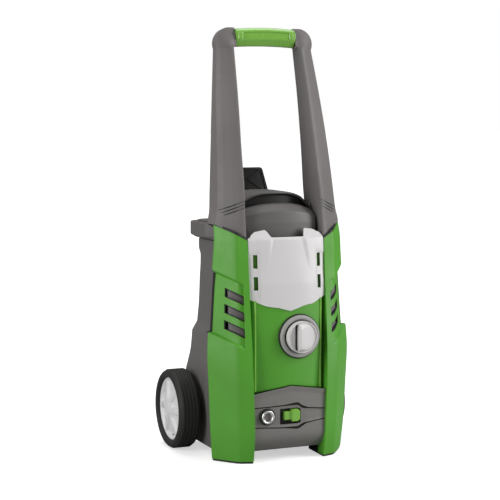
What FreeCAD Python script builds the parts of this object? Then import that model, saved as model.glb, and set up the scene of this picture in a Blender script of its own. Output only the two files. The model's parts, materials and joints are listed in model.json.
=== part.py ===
"""Upright electric pressure washer on two wheels, as separate sub-parts.

Frame: X to the right, Y towards the back, Z up, millimetres. While the parts are made, Y is
measured from the plane the front pillars are set out from. When they are written, they move
so that the origin is on the floor under the middle of the machine. The driving sizes are
cells of the sheet "sizes", and formulas in quotes below are worked out from them.
"""
import FreeCAD, Part
import math
import os
import re

import Sketcher

Vector = FreeCAD.Vector
Rotation = FreeCAD.Rotation
Placement = FreeCAD.Placement

SIZES = {
    # wheels and axle
    "wheel_radius": 76,
    "wheel_middle": 151.8,
    "wheel_y": 77,
    "tyre_width": 44,
    "rim_radius": 62,
    "rim_width": 38,
    "rim_wall": 5,
    "hub_radius": 16,
    "cap_radius": 20,
    "spoke_count": 6,
    "axle_radius": 6,
    "running_gap": 0.05,
    "clear_gap": 0.4,
    # casing: half widths, depths and heights
    "shell_wall": 3,
    "casing_half": 109,
    "casing_low_half": 123,
    "casing_bottom": 12,
    "casing_top": 437,
    "casing_front": -45,
    "casing_step": 235,
    "casing_swell": 141,
    "casing_rear_low": 116,
    "casing_rear_step": 86,
    "casing_rear_top": 66,
    "casing_neck": 361,
    "grille_half": 42,
    "grille_bottom": 262,
    "grille_height": 64,
    "corner_round": 10,
    # front pillars
    "pillar_inner": 76,
    "pillar_outer": 141,
    "pillar_recess_outer": 127,
    "pillar_front": -102,
    "pillar_back": -58,
    "pillar_bulge": 5,
    "pillar_seam": 410,
    "crease_low": 207,
    "crease_high": 331,
    "crease_slope": 0.55,
    "window_rise": 17,
    "window_pitch": 30,
    # centre panels
    "panel_half": 72,
    "panel_bulge": 13,
    "panel_bottom": 22,
    "panel_split": 128,
    "panel_peak": 12,
    "badge_side": 303,
    "badge_tip": 280,
    "badge_top": 428,
    "slot_x": 64,
    "slot_width": 7,
    "slot_height": 24,
    # uprights and grip
    "upright_inner": 77.5,
    "upright_taper": 0.031,
    "upright_spread": 48,
    "upright_spread_top": 22,
    "upright_front": -91,
    "upright_front_top": 3,
    "upright_depth": 84,
    "upright_depth_top": 40,
    "handle_top": 800,
    "handle_round": 27,
    "corner_seam": 752,
    "grip_half": 60,
    "grip_y": 15,
    "grip_height": 36,
    "grip_depth": 34,
    "bar_radius": 11,
    # motor cover
    "cover_half": 74,
    "cover_shoulder": 466,
    "cover_crest": 495,
    # accessory rail and hose hook
    "rail_bottom": 402,
    "rail_depth": 15,
    "hook_bottom": 485,
    "hook_top": 536,
    "hook_y": 90,
    "hook_half": 44,
    "hook_thick": 5,
    # motor, on an upright axis
    "motor_y": 2,
    "motor_radius": 56,
    "stator_bottom": 226,
    "stator_height": 66,
    "winding_height": 20,
    "bore_radius": 31,
    "shaft_radius": 7,
    "shaft_bottom": 146,
    "shaft_top": 360,
    "shield_thick": 12,
    "bearing_radius": 16,
    "bearing_height": 10,
    "fan_radius": 50,
    "fan_height": 14,
    "fan_blades": 9,
    # pump, under the motor
    "pump_radius": 42,
    "head_bottom": 60,
    "head_height": 50,
    "barrel_height": 14,
    "crankcase_top": 190,
    "piston_radius": 7,
    "piston_circle": 22,
    "piston_count": 3,
    "swash_radius": 33,
    "swash_tilt": 8,
    # water ways
    "outlet_x": -46,
    "outlet_z": 86,
    "outlet_bore": 7,
    "outlet_radius": 12.8,
    "outlet_front": -118,
    "inlet_x": 46,
    "inlet_z": 102,
    "inlet_radius": 13,
    "inlet_bore": 8,
    "inlet_end": 137,
    "hose_radius": 9,
    "hose_bore": 5,
    "gland_x": -62,
    "gland_radius": 9,
    "gland_bore": 3.5,
    "capacitor_radius": 16,
    "capacitor_length": 60,
    # switch knob and outlet latch
    "knob_x": 18,
    "knob_z": 232,
    "knob_radius": 31.5,
    "knob_front": -142,
    "knob_back": -119,
    "bezel_radius": 41,
    "spindle_radius": 4,
    "latch_x": 4,
    "latch_z": 85,
    "latch_length": 32,
    "latch_height": 26,
    "latch_travel": 7,
    # fasteners
    "screw_radius": 2.5,
    "screw_head": 4.5,
}

MIRROR_X = Vector(1, 0, 0)
ORIGIN = Vector(0, 0, 0)
SCREW_PLACES = [(across, along) for across in (-84, 84) for along in (-28, 92)]
SIDES = {"left": -1, "right": 1}
ALONG = {
    "X": Rotation(Vector(0, 1, 0), 90),
    "Y": Rotation(Vector(1, 0, 0), -90),
    "Z": Rotation(),
}

doc = FreeCAD.newDocument("pressure_washer")
sheet = doc.addObject("Spreadsheet::Sheet", "sizes")
for row, (alias, number) in enumerate(SIZES.items(), start=1):
    sheet.set(f"A{row}", alias)
    sheet.set(f"B{row}", str(number))
    sheet.setAlias(f"B{row}", alias)
doc.recompute()

nodes = []


# ---------------------------------------------------------------- helpers
def formula(text):
    """Point each plain word of a formula at the cell of that name."""
    return re.sub(r"[a-z][a-z_]*", lambda word: f"sizes.{word.group(0)}", str(text))


def size(text):
    """The number that a formula gives, for shapes made by Part functions."""
    return float(sheet.evalExpression(formula(text)))


def bind(thing, prop, text):
    thing.setExpression(prop, formula(text))


def put(thing, at, turn=Rotation()):
    """Turn an object about its own origin, then tie its place to formulas."""
    thing.Placement = Placement(ORIGIN, turn)
    for axis, text in zip("xyz", at):
        bind(thing, f"Placement.Base.{axis}", text)
    return thing


def keep(label, thing):
    """Name an object as a sub-part that is written out."""
    thing.Label = label
    nodes.append(thing)
    return thing


def cylinder(radius, length, at, along="Z"):
    rod = doc.addObject("Part::Cylinder", "rod")
    bind(rod, "Radius", radius)
    bind(rod, "Height", length)
    return put(rod, at, ALONG[along])


def block(low, high):
    """A box between two corners, each given as three formulas."""
    box = doc.addObject("Part::Box", "block")
    for prop, start, end in zip(("Length", "Width", "Height"), low, high):
        bind(box, prop, f"({end}) - ({start})")
    return put(box, low)


def fuse(*things):
    whole = doc.addObject("Part::MultiFuse", "joined")
    whole.Shapes = list(things)
    whole.Refine = True
    return whole


def cut(base, *tools):
    rest = doc.addObject("Part::Cut", "trimmed")
    rest.Base = base
    rest.Tool = tools[0] if len(tools) == 1 else fuse(*tools)
    return rest


def tube(outer, inner, length, at, along="Z"):
    return cut(cylinder(outer, length, at, along), cylinder(inner, length, at, along))


def group(*things):
    """Several like pieces, each still a solid of its own, for one sub-part."""
    pieces = doc.addObject("Part::Compound", "group")
    pieces.Links = list(things)
    return pieces


def shape(label, solid):
    """A sub-part whose shape comes from Part's own functions."""
    part = doc.addObject("Part::Feature", label)
    part.Shape = solid
    return keep(label, part)


def new_body(label):
    return keep(label, doc.addObject("PartDesign::Body", label))


def new_sketch(body, role, lift=0):
    """An empty sketch on one of the body's own origin planes, lifted along its normal."""
    flat = next(item for item in body.Origin.OriginFeatures if item.Role == role)
    sketch = body.newObject("Sketcher::SketchObject", f"{body.Name}_sketch")
    sketch.AttachmentSupport = [(flat, "")]
    sketch.MapMode = "FlatFace"
    bind(sketch, "AttachmentOffset.Base.z", lift)
    return sketch


def outline(body, role, corners, lift=0):
    """A closed outline of straight sides whose corners are pairs of formulas."""
    sketch = new_sketch(body, role, lift)
    spots = [Vector(size(across), size(up), 0) for across, up in corners]
    count = len(spots)
    for index in range(count):
        side = Part.LineSegment(spots[index], spots[(index + 1) % count])
        sketch.addGeometry(side, False)
    for index in range(count):
        sketch.addConstraint(Sketcher.Constraint("Coincident", index, 2, (index + 1) % count, 1))
    for index, (pair, spot) in enumerate(zip(corners, spots)):
        for kind, text, number in zip(("DistanceX", "DistanceY"), pair, spot):
            rule = sketch.addConstraint(Sketcher.Constraint(kind, -1, 1, index, 1, number))
            sketch.setExpression(f"Constraints[{rule}]", formula(text))
    return sketch


def circle(body, role, radius, centre=(0, 0), lift=0):
    """A circle whose radius and centre are formulas."""
    sketch = new_sketch(body, role, lift)
    middle = Vector(size(centre[0]), size(centre[1]), 0)
    sketch.addGeometry(Part.Circle(middle, Vector(0, 0, 1), size(radius)), False)
    rules = [
        (Sketcher.Constraint("Radius", 0, size(radius)), radius),
        (Sketcher.Constraint("DistanceX", -1, 1, 0, 3, middle.x), centre[0]),
        (Sketcher.Constraint("DistanceY", -1, 1, 0, 3, middle.y), centre[1]),
    ]
    for constraint, text in rules:
        rule = sketch.addConstraint(constraint)
        sketch.setExpression(f"Constraints[{rule}]", formula(text))
    return sketch


def sweep(kind, body, sketch, length, both_ways):
    """Carry a sketch straight along its normal, as material added or taken away."""
    feature = body.newObject(f"PartDesign::{kind}", kind.lower())
    feature.Profile = sketch
    if both_ways:
        feature.SideType = "Symmetric"
    bind(feature, "Length", length)
    return feature


def pad(body, sketch, length, both_ways=False):
    return sweep("Pad", body, sketch, length, both_ways)


def pocket(body, sketch, length, both_ways=False):
    return sweep("Pocket", body, sketch, length, both_ways)


def revolve(body, sketch, axis):
    """Turn a sketch right round its own H_Axis or V_Axis."""
    feature = body.newObject("PartDesign::Revolution", "turned")
    feature.Profile = sketch
    feature.ReferenceAxis = (sketch, [axis])
    feature.Angle = 360
    return feature


def around(body, features, role, count):
    """Repeat features evenly about one of the body's axes."""
    axis = next(item for item in body.Origin.OriginFeatures if item.Role == role)
    pattern = body.newObject("PartDesign::PolarPattern", "round")
    pattern.Originals = features
    pattern.Axis = (axis, [""])
    pattern.Angle = 360
    bind(pattern, "Occurrences", count)
    body.Tip = pattern
    return pattern


def prism(corners, way):
    """A solid swept straight from a flat face with the given corners."""
    wire = Part.makePolygon(corners + corners[:1])
    return Part.Face(wire).extrude(way)


def ruled(rings):
    """A solid through rings of corners, with flat strips between them."""
    wires = [Part.makePolygon(ring + ring[:1]) for ring in rings]
    return Part.makeLoft(wires, True, True)


def on_side(solid, side):
    """The solid itself for the right side, its mirror image for the left."""
    return solid if side > 0 else solid.mirror(ORIGIN, MIRROR_X)


def thick(path, wall):
    """A closed ring from an open path: the path out, and back at one wall to its left."""
    back = []
    for index, spot in enumerate(path):
        before = path[max(index - 1, 0)]
        after = path[min(index + 1, len(path) - 1)]
        run_in = (spot - before) if index else (after - spot)
        run_out = (after - spot) if index < len(path) - 1 else run_in
        normal_in = Vector(-run_in.y, run_in.x, 0).normalize()
        normal_out = Vector(-run_out.y, run_out.x, 0).normalize()
        middle = (normal_in + normal_out).normalize()
        back.append(spot + middle * (wall / max(middle.dot(normal_in), 0.5)))
    return path + back[::-1]


# ---------------------------------------------------------------- wheels and axle
def make_wheel(name, side):
    """One wheel about its own X axis, outer face towards +X: tyre, rim and hub cap."""
    turn = Rotation(Vector(0, 0, 1), 0 if side > 0 else 180)
    at = (f"{side} * wheel_middle", "wheel_y", "wheel_radius")

    tyre = new_body(f"tyre_{name}")
    half = "tyre_width / 2"
    section = outline(tyre, "XY_Plane", [
        (f"0 - {half} + 3", "rim_radius"),
        (f"0 - {half}", "rim_radius + 4"),
        (f"0 - {half}", "wheel_radius - 6"),
        (f"0 - {half} + 4", "wheel_radius - 1"),
        (f"0 - {half} + 9", "wheel_radius"),
        (f"{half} - 9", "wheel_radius"),
        (f"{half} - 4", "wheel_radius - 1"),
        (half, "wheel_radius - 6"),
        (half, "rim_radius + 4"),
        (f"{half} - 3", "rim_radius"),
    ])
    revolve(tyre, section, "H_Axis")
    put(tyre, at, turn)

    rim = new_body(f"rim_{name}")
    face = "rim_width / 2"
    section = outline(rim, "XY_Plane", [
        (f"0 - {face}", "axle_radius + running_gap"),
        (f"0 - {face}", "hub_radius"),
        ("-4", "hub_radius"),
        ("-4", "rim_radius - rim_wall"),
        (f"0 - {face}", "rim_radius - rim_wall"),
        (f"0 - {face}", "rim_radius"),
        (face, "rim_radius"),
        (face, "rim_radius - rim_wall"),
        ("0", "rim_radius - rim_wall"),
        ("0", "hub_radius"),
        (f"{face} - 5", "hub_radius"),
        (f"{face} - 5", "axle_radius + running_gap"),
    ])
    revolve(rim, section, "H_Axis")
    spoke = outline(rim, "YZ_Plane", [
        ("-6", "hub_radius - 2"),
        ("6", "hub_radius - 2"),
        ("8", "rim_radius - rim_wall + 1"),
        ("-8", "rim_radius - rim_wall + 1"),
    ])
    around(rim, [pad(rim, spoke, f"{face} - 5")], "X_Axis", "spoke_count")
    put(rim, at, turn)

    hub_cap = new_body(f"hub_cap_{name}")
    section = outline(hub_cap, "XY_Plane", [
        (f"{face} - 5", "cap_radius"),
        (f"{face} - 1", "cap_radius"),
        (f"{face} + 2", "cap_radius - 6"),
        (f"{face} + 3", "0"),
        (f"{face} + 1", "0"),
        (f"{face}", "cap_radius - 7"),
        (f"{face} - 5", "hub_radius - 4"),
    ])
    revolve(hub_cap, section, "H_Axis")
    put(hub_cap, at, turn)


for name, side in SIDES.items():
    make_wheel(name, side)

axle_end = "wheel_middle + rim_width / 2 - 3"
keep("axle", cylinder("axle_radius", f"2 * ({axle_end})",
                      (f"0 - ({axle_end})", "wheel_y", "wheel_radius"), "X"))


def axle_rings(start, length, outer):
    """A ring on the axle at each side, from one distance off the middle outwards."""
    rings = []
    for side in SIDES.values():
        near = start if side > 0 else f"0 - ({start}) - ({length})"
        rings.append(tube(outer, "axle_radius", length, (near, "wheel_y", "wheel_radius"), "X"))
    return group(*rings)


keep("axle_clips", axle_rings("wheel_middle + rim_width / 2 - 5 + clear_gap", 1.2,
                              "axle_radius + 3.5"))
keep("wheel_spacers", axle_rings("casing_low_half",
                                 "wheel_middle - rim_width / 2 - casing_low_half - clear_gap",
                                 "axle_radius + 7"))


# ---------------------------------------------------------------- base tray and feet
def make_chassis():
    """Tray with an axle bearer at each side and a cradle under the pump."""
    floor = "casing_bottom + shell_wall"
    inside = "casing_low_half - shell_wall - 9"
    tray = block((f"0 - ({inside})", "pillar_front + 28", floor),
                 (inside, "casing_rear_low - 18", f"{floor} + 4"))
    cradle = block(("-34", "motor_y - 34", floor), ("34", "motor_y + 30", "head_bottom"))
    bearers = []
    for side in SIDES.values():
        near, far = sorted((side * 94, side * 111))
        bearers.append(block((near, "wheel_y - 15", floor),
                             (far, "wheel_y + 15", "wheel_radius + 15")))
    bore = cylinder("axle_radius", "2 * casing_low_half",
                    ("0 - casing_low_half", "wheel_y", "wheel_radius"), "X")
    holes = [cylinder("screw_radius", 10, (*place, "casing_bottom")) for place in SCREW_PLACES]
    keep("chassis", cut(fuse(tray, cradle, *bearers), bore, *holes))


def make_base_screws():
    """Four screws that hold the casing's floor to the tray from below."""
    screws = []
    for place in SCREW_PLACES:
        shank = cylinder("screw_radius", "shell_wall + 4", (*place, "casing_bottom"))
        head = cylinder("screw_head", 2.5, (*place, "casing_bottom - 2.5"))
        screws.append(fuse(shank, head))
    keep("base_screws", group(*screws))


make_chassis()
make_base_screws()


def pillar_face(level, outer, inner, front, back):
    """Corners of a pillar's outer skin at one level, from the inner wall to the back edge."""
    corner = Vector(inner, front, 0)
    edge = Vector(outer, back, 0)
    outward = Vector(edge.y - corner.y, corner.x - edge.x, 0).normalize()
    crown = (corner + edge) * 0.5 + outward * size("pillar_bulge")
    quarter = corner * 0.72 + edge * 0.28 + outward * size("pillar_bulge") * 0.8
    return [
        corner + Vector(0, 24, level),
        corner + Vector(0, 0, level),
        quarter + Vector(0, 0, level),
        crown + Vector(0, 0, level),
        edge + Vector(0, 0, level),
        edge + Vector(-4, 10, level),
    ]


def tilt(ring):
    """Raise each corner of a level ring so that its plane climbs outwards."""
    slope = size("crease_slope")
    inner = size("pillar_inner")
    return [spot + Vector(0, 0, slope * (spot.x - inner)) for spot in ring]


def make_pillar(name, side):
    """Front pillar: a bowed skin with a set-back band that holds three windows."""
    wall = size("shell_wall")
    inner, outer = size("pillar_inner"), size("pillar_outer")
    recess = size("pillar_recess_outer")
    front, back = size("pillar_front"), size("pillar_back")
    low, high, seam = size("crease_low"), size("crease_high"), size("pillar_seam")
    foot_level = 3
    flat_levels = [
        (foot_level, outer - 9, inner - 2, front - 5, back),
        (60, outer - 4, inner - 1, front - 13, back),
        (126, outer + 1, inner, front - 14, back - 2),
    ]
    tilted_levels = [
        (low - 40, outer + 1, inner, front - 8, back - 2),
        (low, outer - 1, inner, front, back + 1),
        (low + 6, recess, inner + 1, front + 1, back + 1),
        (high - 6, recess, inner + 1, front + 1, back + 1),
        (high, outer - 10, inner, front, back + 1),
        (seam, outer - 17, inner + 1, front + 10, back + 8),
    ]
    rings = [thick(pillar_face(*level), wall) for level in flat_levels]
    rings += [tilt(thick(pillar_face(*level), wall)) for level in tilted_levels]
    skin = ruled(rings)

    through = Vector(0.7, -0.7, 0)
    for index in range(3):
        bottom = low + 24 + index * size("window_pitch")
        rise = size("window_rise")
        inner_x, outer_x = inner + 9, recess - 16
        climb = size("crease_slope") * (outer_x - inner_x)
        slot = prism([
            Vector(inner_x, front + 7, bottom) - through * 25,
            Vector(outer_x, front + 31, bottom + climb) - through * 25,
            Vector(outer_x, front + 31, bottom + climb + rise) - through * 25,
            Vector(inner_x, front + 7, bottom + rise) - through * 25,
        ], through * 50)
        skin = skin.cut(slot)
    notch = Part.makeBox(30, 14, high - low - 30,
                         Vector(recess - 20, back + 4, low + 45))
    shape(f"pillar_{name}", on_side(skin.cut(notch), side))


def make_foot(side):
    """Rubber foot that fills the bottom of one pillar and carries it."""
    near, far = size("pillar_inner") + 2, size("pillar_outer") - 20
    front, back = size("pillar_front") + 11, size("pillar_back")
    sole = [
        Vector(near, front, 0), Vector(far, back - 1, 0),
        Vector(far, back + 5, 0), Vector(near, back + 5, 0),
    ]
    block_top = size("casing_bottom") + size("shell_wall")
    return on_side(prism(sole, Vector(0, 0, block_top)), side)


def make_louvre(side):
    """Dark slats that stand behind the windows of one pillar."""
    inner, front, low = size("pillar_inner"), size("pillar_front"), size("crease_low")
    slope, reach = size("crease_slope"), 17
    start = Vector(inner + 5, front + 26, low + 12)
    inward = Vector(-4, 4, 0)
    solids = [prism([start, start + Vector(0, 0, 116), start + Vector(0, 0, 116) + inward,
                     start + inward], Vector(4, 3.4, 0))]
    for index in range(4):
        level = Vector(0, 0, 4 + index * size("window_pitch"))
        run = Vector(reach, reach * 0.85, slope * reach)
        slat = [start + level, start + level + Vector(0, 0, 7),
                start + level + Vector(0, 0, 7) + inward, start + level + inward]
        solids.append(prism(slat, run))
    return on_side(solids[0].multiFuse(solids[1:]), side)


for name, side in SIDES.items():
    make_pillar(name, side)
shape("rubber_feet", Part.makeCompound([make_foot(side) for side in SIDES.values()]))
shape("window_louvres", Part.makeCompound([make_louvre(side) for side in SIDES.values()]))


# ---------------------------------------------------------------- centre panels
def bowed_band(body, half, middle_front, bulge, lift, length):
    """A wall that bows towards the front, padded straight up from one level."""
    sketch = new_sketch(body, "XY_Plane", lift)
    reach, front, bow = size(half), size(middle_front), size(bulge)
    wall = size("shell_wall")
    ends = {}
    for key, shift in (("front", 0), ("back", wall)):
        left = Vector(-reach, front + bow + shift, 0)
        right = Vector(reach, front + bow + shift, 0)
        ends[key] = (left, right, Part.Arc(left, Vector(0, front + shift, 0), right))
    sketch.addGeometry(ends["front"][2], False)
    sketch.addGeometry(Part.LineSegment(ends["front"][1], ends["back"][1]), False)
    sketch.addGeometry(ends["back"][2], False)
    sketch.addGeometry(Part.LineSegment(ends["back"][0], ends["front"][0]), False)
    return pad(body, sketch, length)


def make_front_panel():
    """Green centre panel with the round opening for the switch bezel."""
    body = new_body("front_panel")
    bowed_band(body, "panel_half", "pillar_front - 9", "panel_bulge", "panel_split - 4", 190)
    above = outline(body, "XZ_Plane", [
        ("0 - panel_half - 5", "badge_side - 2"),
        ("0", "badge_tip - 2"),
        ("panel_half + 5", "badge_side - 2"),
        ("panel_half + 5", "badge_side + 60"),
        ("0 - panel_half - 5", "badge_side + 60"),
    ])
    pocket(body, above, 400, both_ways=True)
    below = outline(body, "XZ_Plane", [
        ("0 - panel_half - 5", "panel_split - 20"),
        ("panel_half + 5", "panel_split - 20"),
        ("panel_half + 5", "panel_split + 1"),
        ("0", "panel_split + panel_peak + 1"),
        ("0 - panel_half - 5", "panel_split + 1"),
    ])
    pocket(body, below, 400, both_ways=True)
    port = circle(body, "XZ_Plane", "bezel_radius", ("knob_x", "knob_z"))
    pocket(body, port, 400, both_ways=True)


def make_lower_panel():
    """Grey panel at the foot of the front, with openings for outlet and latch."""
    body = new_body("lower_front_panel")
    bowed_band(body, "panel_half", "pillar_front - 9", "panel_bulge", "panel_bottom", 130)
    above = outline(body, "XZ_Plane", [
        ("0 - panel_half - 5", "panel_split"),
        ("0", "panel_split + panel_peak"),
        ("panel_half + 5", "panel_split"),
        ("panel_half + 5", "panel_split + 60"),
        ("0 - panel_half - 5", "panel_split + 60"),
    ])
    pocket(body, above, 400, both_ways=True)
    port = circle(body, "XZ_Plane", "outlet_radius + 2.6", ("outlet_x", "outlet_z"))
    pocket(body, port, 400, both_ways=True)
    half_slot = "latch_length / 2 + latch_travel / 2 + 1"
    middle = "latch_x - latch_travel / 2"
    slot = outline(body, "XZ_Plane", [
        (f"{middle} - ({half_slot})", "latch_z - latch_height / 2 - 1"),
        (f"{middle} + {half_slot}", "latch_z - latch_height / 2 - 1"),
        (f"{middle} + {half_slot}", "latch_z + latch_height / 2 + 1"),
        (f"{middle} - ({half_slot})", "latch_z + latch_height / 2 + 1"),
    ])
    pocket(body, slot, 400, both_ways=True)


def badge_bends():
    """Heights where the badge plate changes its lean, each with the lean above it."""
    tip, top = size("badge_tip"), size("badge_top")
    return [(tip, 0.035), (size("crease_high"), 0.12), (top - 17, 0.8), (top + 10, 0)]


def make_badge_plate():
    """Plate under the motor cover, bent back at its notched top, with a pointed foot and slots."""
    wall = size("shell_wall")
    half, bulge = size("panel_half") + 3, size("panel_bulge")
    tip, side_level, top = size("badge_tip"), size("badge_side"), size("badge_top")
    front = size("pillar_front") - 9
    pieces = []
    bends = badge_bends()
    for (low, lean), (high, _) in zip(bends, bends[1:]):
        arcs = []
        for shift in (0, wall):
            arcs.append(Part.Arc(Vector(-half, front + bulge + shift, low),
                                 Vector(0, front + shift, low),
                                 Vector(half, front + bulge + shift, low)))
        face = Part.makeRuledSurface(arcs[0].toShape(), arcs[1].toShape())
        pieces.append(face.extrude(Vector(0, lean * (high - low), high - low)))
        front += lean * (high - low)
    leaning = pieces[0].fuse(pieces[1:]).removeSplitter()
    ear, notch, ear_rise, ear_low = 43, 34, 3, 14
    plan = [
        Vector(-half, 0, side_level), Vector(0, 0, tip), Vector(half, 0, side_level),
        Vector(half, 0, top - ear_low), Vector(ear, 0, top + ear_rise), Vector(notch, 0, top - ear_low),
        Vector(-notch, 0, top - ear_low), Vector(-ear, 0, top + ear_rise), Vector(-half, 0, top - ear_low),
    ]
    plate = leaning.common(prism([spot + Vector(0, -200, 0) for spot in plan], Vector(0, 300, 0)))
    width, height = size("slot_width"), size("slot_height")
    for side in SIDES.values():
        for level in (tip + 39, tip + 79):
            slot = Part.makeBox(width, 300, height,
                                Vector(side * size("slot_x") - width / 2, -200, level))
            plate = plate.cut(slot)
    shape("badge_plate", plate)


make_front_panel()
make_lower_panel()
make_badge_plate()


# ---------------------------------------------------------------- uprights and grip
def upright_ring(level, wall=0):
    """Wedge section of the right upright at one height, set in by one wall if asked."""
    start, end = size("pillar_seam"), size("handle_top")
    way = (level - start) / (end - start)
    inner = size("upright_inner") - size("upright_taper") * (level - start)
    spread = size("upright_spread") + (size("upright_spread_top") - size("upright_spread")) * way
    front = size("upright_front")
    front += (size("upright_front_top") - front) * (0.62 * way + 0.38 * way * way)
    depth = size("upright_depth") + (size("upright_depth_top") - size("upright_depth")) * way
    set_back = depth * 0.42
    return [
        Vector(inner + wall, front + wall * 1.6, level),
        Vector(inner + spread * 0.45 + wall * 0.3, front + set_back * 0.36 + wall * 1.4, level),
        Vector(inner + spread - wall, front + set_back + wall * 0.8, level),
        Vector(inner + spread - wall, front + depth - wall * 1.4, level),
        Vector(inner + wall, front + depth - wall, level),
    ]


def make_upright(name, side):
    """Hollow leaning post, open below, and the rounded corner piece that joins it to the grip."""
    seam, top = size("pillar_seam"), size("handle_top")
    wall = size("shell_wall")
    levels = [seam, seam + 70, seam + 150, seam + 250, top]
    rings = [upright_ring(level) for level in levels]
    rings[0] = tilt([spot + Vector(0, 0, 0.6) for spot in rings[0]])
    solid = ruled(rings)
    hollow_levels = [seam - 60, seam + 70, seam + 150, seam + 250, top - 46]
    hollow = ruled([upright_ring(level, wall) for level in hollow_levels])

    height, half = size("grip_height"), size("grip_half")
    elbow_front = size("grip_y") - size("grip_depth") / 2
    elbow = Part.makeBox(20, size("grip_depth"), height,
                         Vector(half, elbow_front, top - height))
    radius = size("handle_round")
    reach = size("upright_inner") + size("upright_spread")
    flank = Part.makeBox(reach - half + 20, 400, top - radius, Vector(half, -200, 0))
    top_outer = upright_ring(top)[2].x
    crown = Part.makeBox(top_outer - half - radius, 400, top, Vector(half, -200, 0))
    bend = Part.makeCylinder(radius, 400, Vector(top_outer - radius, -200, top - radius),
                             Vector(0, 1, 0))
    envelope = flank.fuse([crown, bend])
    post_solid = solid.fuse(elbow).common(envelope).cut(hollow).removeSplitter()
    below = Part.makeBox(400, 400, size("corner_seam"), Vector(-200, -200, 0))
    corner = post_solid.cut(below)
    post = post_solid.common(below)
    shape(f"upright_{name}", on_side(Part.makeCompound([post, corner]), side))


for name, side in SIDES.items():
    make_upright(name, side)

grip_level = "handle_top - grip_height / 2"
keep("handle_bar", cylinder("bar_radius", "2 * grip_half",
                            ("0 - grip_half", "grip_y", grip_level), "X"))


def make_grip():
    """Soft oval sleeve round the bar between the uprights."""
    body = new_body("handle_grip")
    high, deep = "grip_height / 2", "grip_depth / 2"
    section = outline(body, "YZ_Plane", [
        (f"0 - {deep} + 8", f"0 - {high}"),
        (f"{deep} - 8", f"0 - {high}"),
        (deep, f"0 - {high} + 8"),
        (deep, f"{high} - 8"),
        (f"{deep} - 8", high),
        (f"0 - {deep} + 8", high),
        (f"0 - {deep}", f"{high} - 8"),
        (f"0 - {deep}", f"0 - {high} + 8"),
    ])
    pad(body, section, "2 * grip_half", both_ways=True)
    pocket(body, circle(body, "YZ_Plane", "bar_radius"), "2 * grip_half + 2", both_ways=True)
    put(body, ("0", "grip_y", grip_level))


make_grip()


# ---------------------------------------------------------------- motor cover and casing
def make_motor_cover():
    """Domed cover between the uprights: front wall, rounded shoulder, step and roof."""
    wall = size("shell_wall")
    shoulder, crest = size("cover_shoulder"), size("cover_crest")
    half, bottom = size("cover_half"), size("pillar_seam")
    stations = [(-1, 14), (-0.6, 5), (0, 0), (0.6, 5), (1, 14)]
    rings = []
    for share, drop in stations:
        across = share * half
        bow = share * share * 12
        path = [
            Vector(0, -78 + bow, bottom - 8),
            Vector(0, -77 + bow, shoulder - 26 - drop),
            Vector(0, -73 + bow, shoulder - 6 - drop),
            Vector(0, -62 + bow, shoulder + 4 - drop),
            Vector(0, -52, shoulder + 10 - drop),
            Vector(0, -48, crest - drop),
            Vector(0, 46, crest - drop),
            Vector(0, 64, crest - 12 - drop),
            Vector(0, 70, bottom + 31),
        ]
        flat = [Vector(spot.y, spot.z, 0) for spot in path]
        ring = thick(flat, -wall)
        rings.append([Vector(across, spot.x, spot.y) for spot in ring])
    skin = ruled(rings)
    walls = []
    for ring in (rings[0], rings[-1]):
        outer = ring[:9]
        sill = [Vector(outer[0].x, 70, bottom - 8)]
        inward = Vector(wall if outer[0].x < 0 else -wall, 0, 0)
        walls.append(prism(outer + sill, inward))
    shape("motor_cover", skin.multiFuse(walls))


def casing_path(level, half, rear):
    """Open path round the back of the casing at one level, from right front to left front."""
    front, bend = size("casing_front"), size("corner_round")
    right = [
        Vector(half, front, level),
        Vector(half, rear - bend, level),
        Vector(half - bend * 0.3, rear - bend * 0.3, level),
        Vector(half - bend, rear, level),
    ]
    left = [Vector(-spot.x, spot.y, spot.z) for spot in reversed(right)]
    return right + left


def make_rear_cover():
    """Rear half of the casing, with bores for the axle, inlet, cable and vents."""
    low_half, half = size("casing_low_half"), size("casing_half")
    levels = [
        (size("casing_bottom"), low_half - 5, size("casing_rear_low") - 4),
        (size("casing_swell"), low_half, size("casing_rear_low")),
        (size("casing_swell") + 34, low_half - 3, size("casing_rear_low") - 18),
        (size("casing_step") - 8, low_half - 4, size("casing_rear_step")),
        (size("casing_step"), half, size("casing_rear_step")),
        (size("casing_neck"), half, size("casing_rear_top")),
        (size("casing_top"), half - 3, size("casing_rear_top") + 12),
    ]
    wall = size("shell_wall")
    skin = ruled([thick(casing_path(*level), wall) for level in levels])
    bottom = size("casing_bottom")
    plan = [Vector(spot.x, spot.y, bottom) for spot in casing_path(*levels[0])]
    skin = skin.fuse(prism(plan, Vector(0, 0, wall)))
    screw_holes = [Part.makeCylinder(size("screw_radius"), 10, Vector(*place, bottom - 2))
                   for place in SCREW_PLACES]
    holes = screw_holes + [
        Part.makeCylinder(size("axle_radius") + 0.5, 400,
                          Vector(-200, size("wheel_y"), size("wheel_radius")), MIRROR_X),
        Part.makeCylinder(size("inlet_radius") + 1, 60,
                          Vector(size("inlet_x"), 80, size("inlet_z")), Vector(0, 1, 0)),
        Part.makeCylinder(size("gland_radius"), 60,
                          Vector(size("gland_x"), 80, size("inlet_z")), Vector(0, 1, 0)),
        Part.makeBox(2 * size("grille_half"), 80, size("grille_height"),
                     Vector(-size("grille_half"), 40, size("grille_bottom"))),
        Part.makeBox(400, 100, 80, Vector(-200, -98, size("rail_bottom") + 2)),
    ]
    shape("rear_cover", skin.cut(holes[0].multiFuse(holes[1:])))


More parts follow.
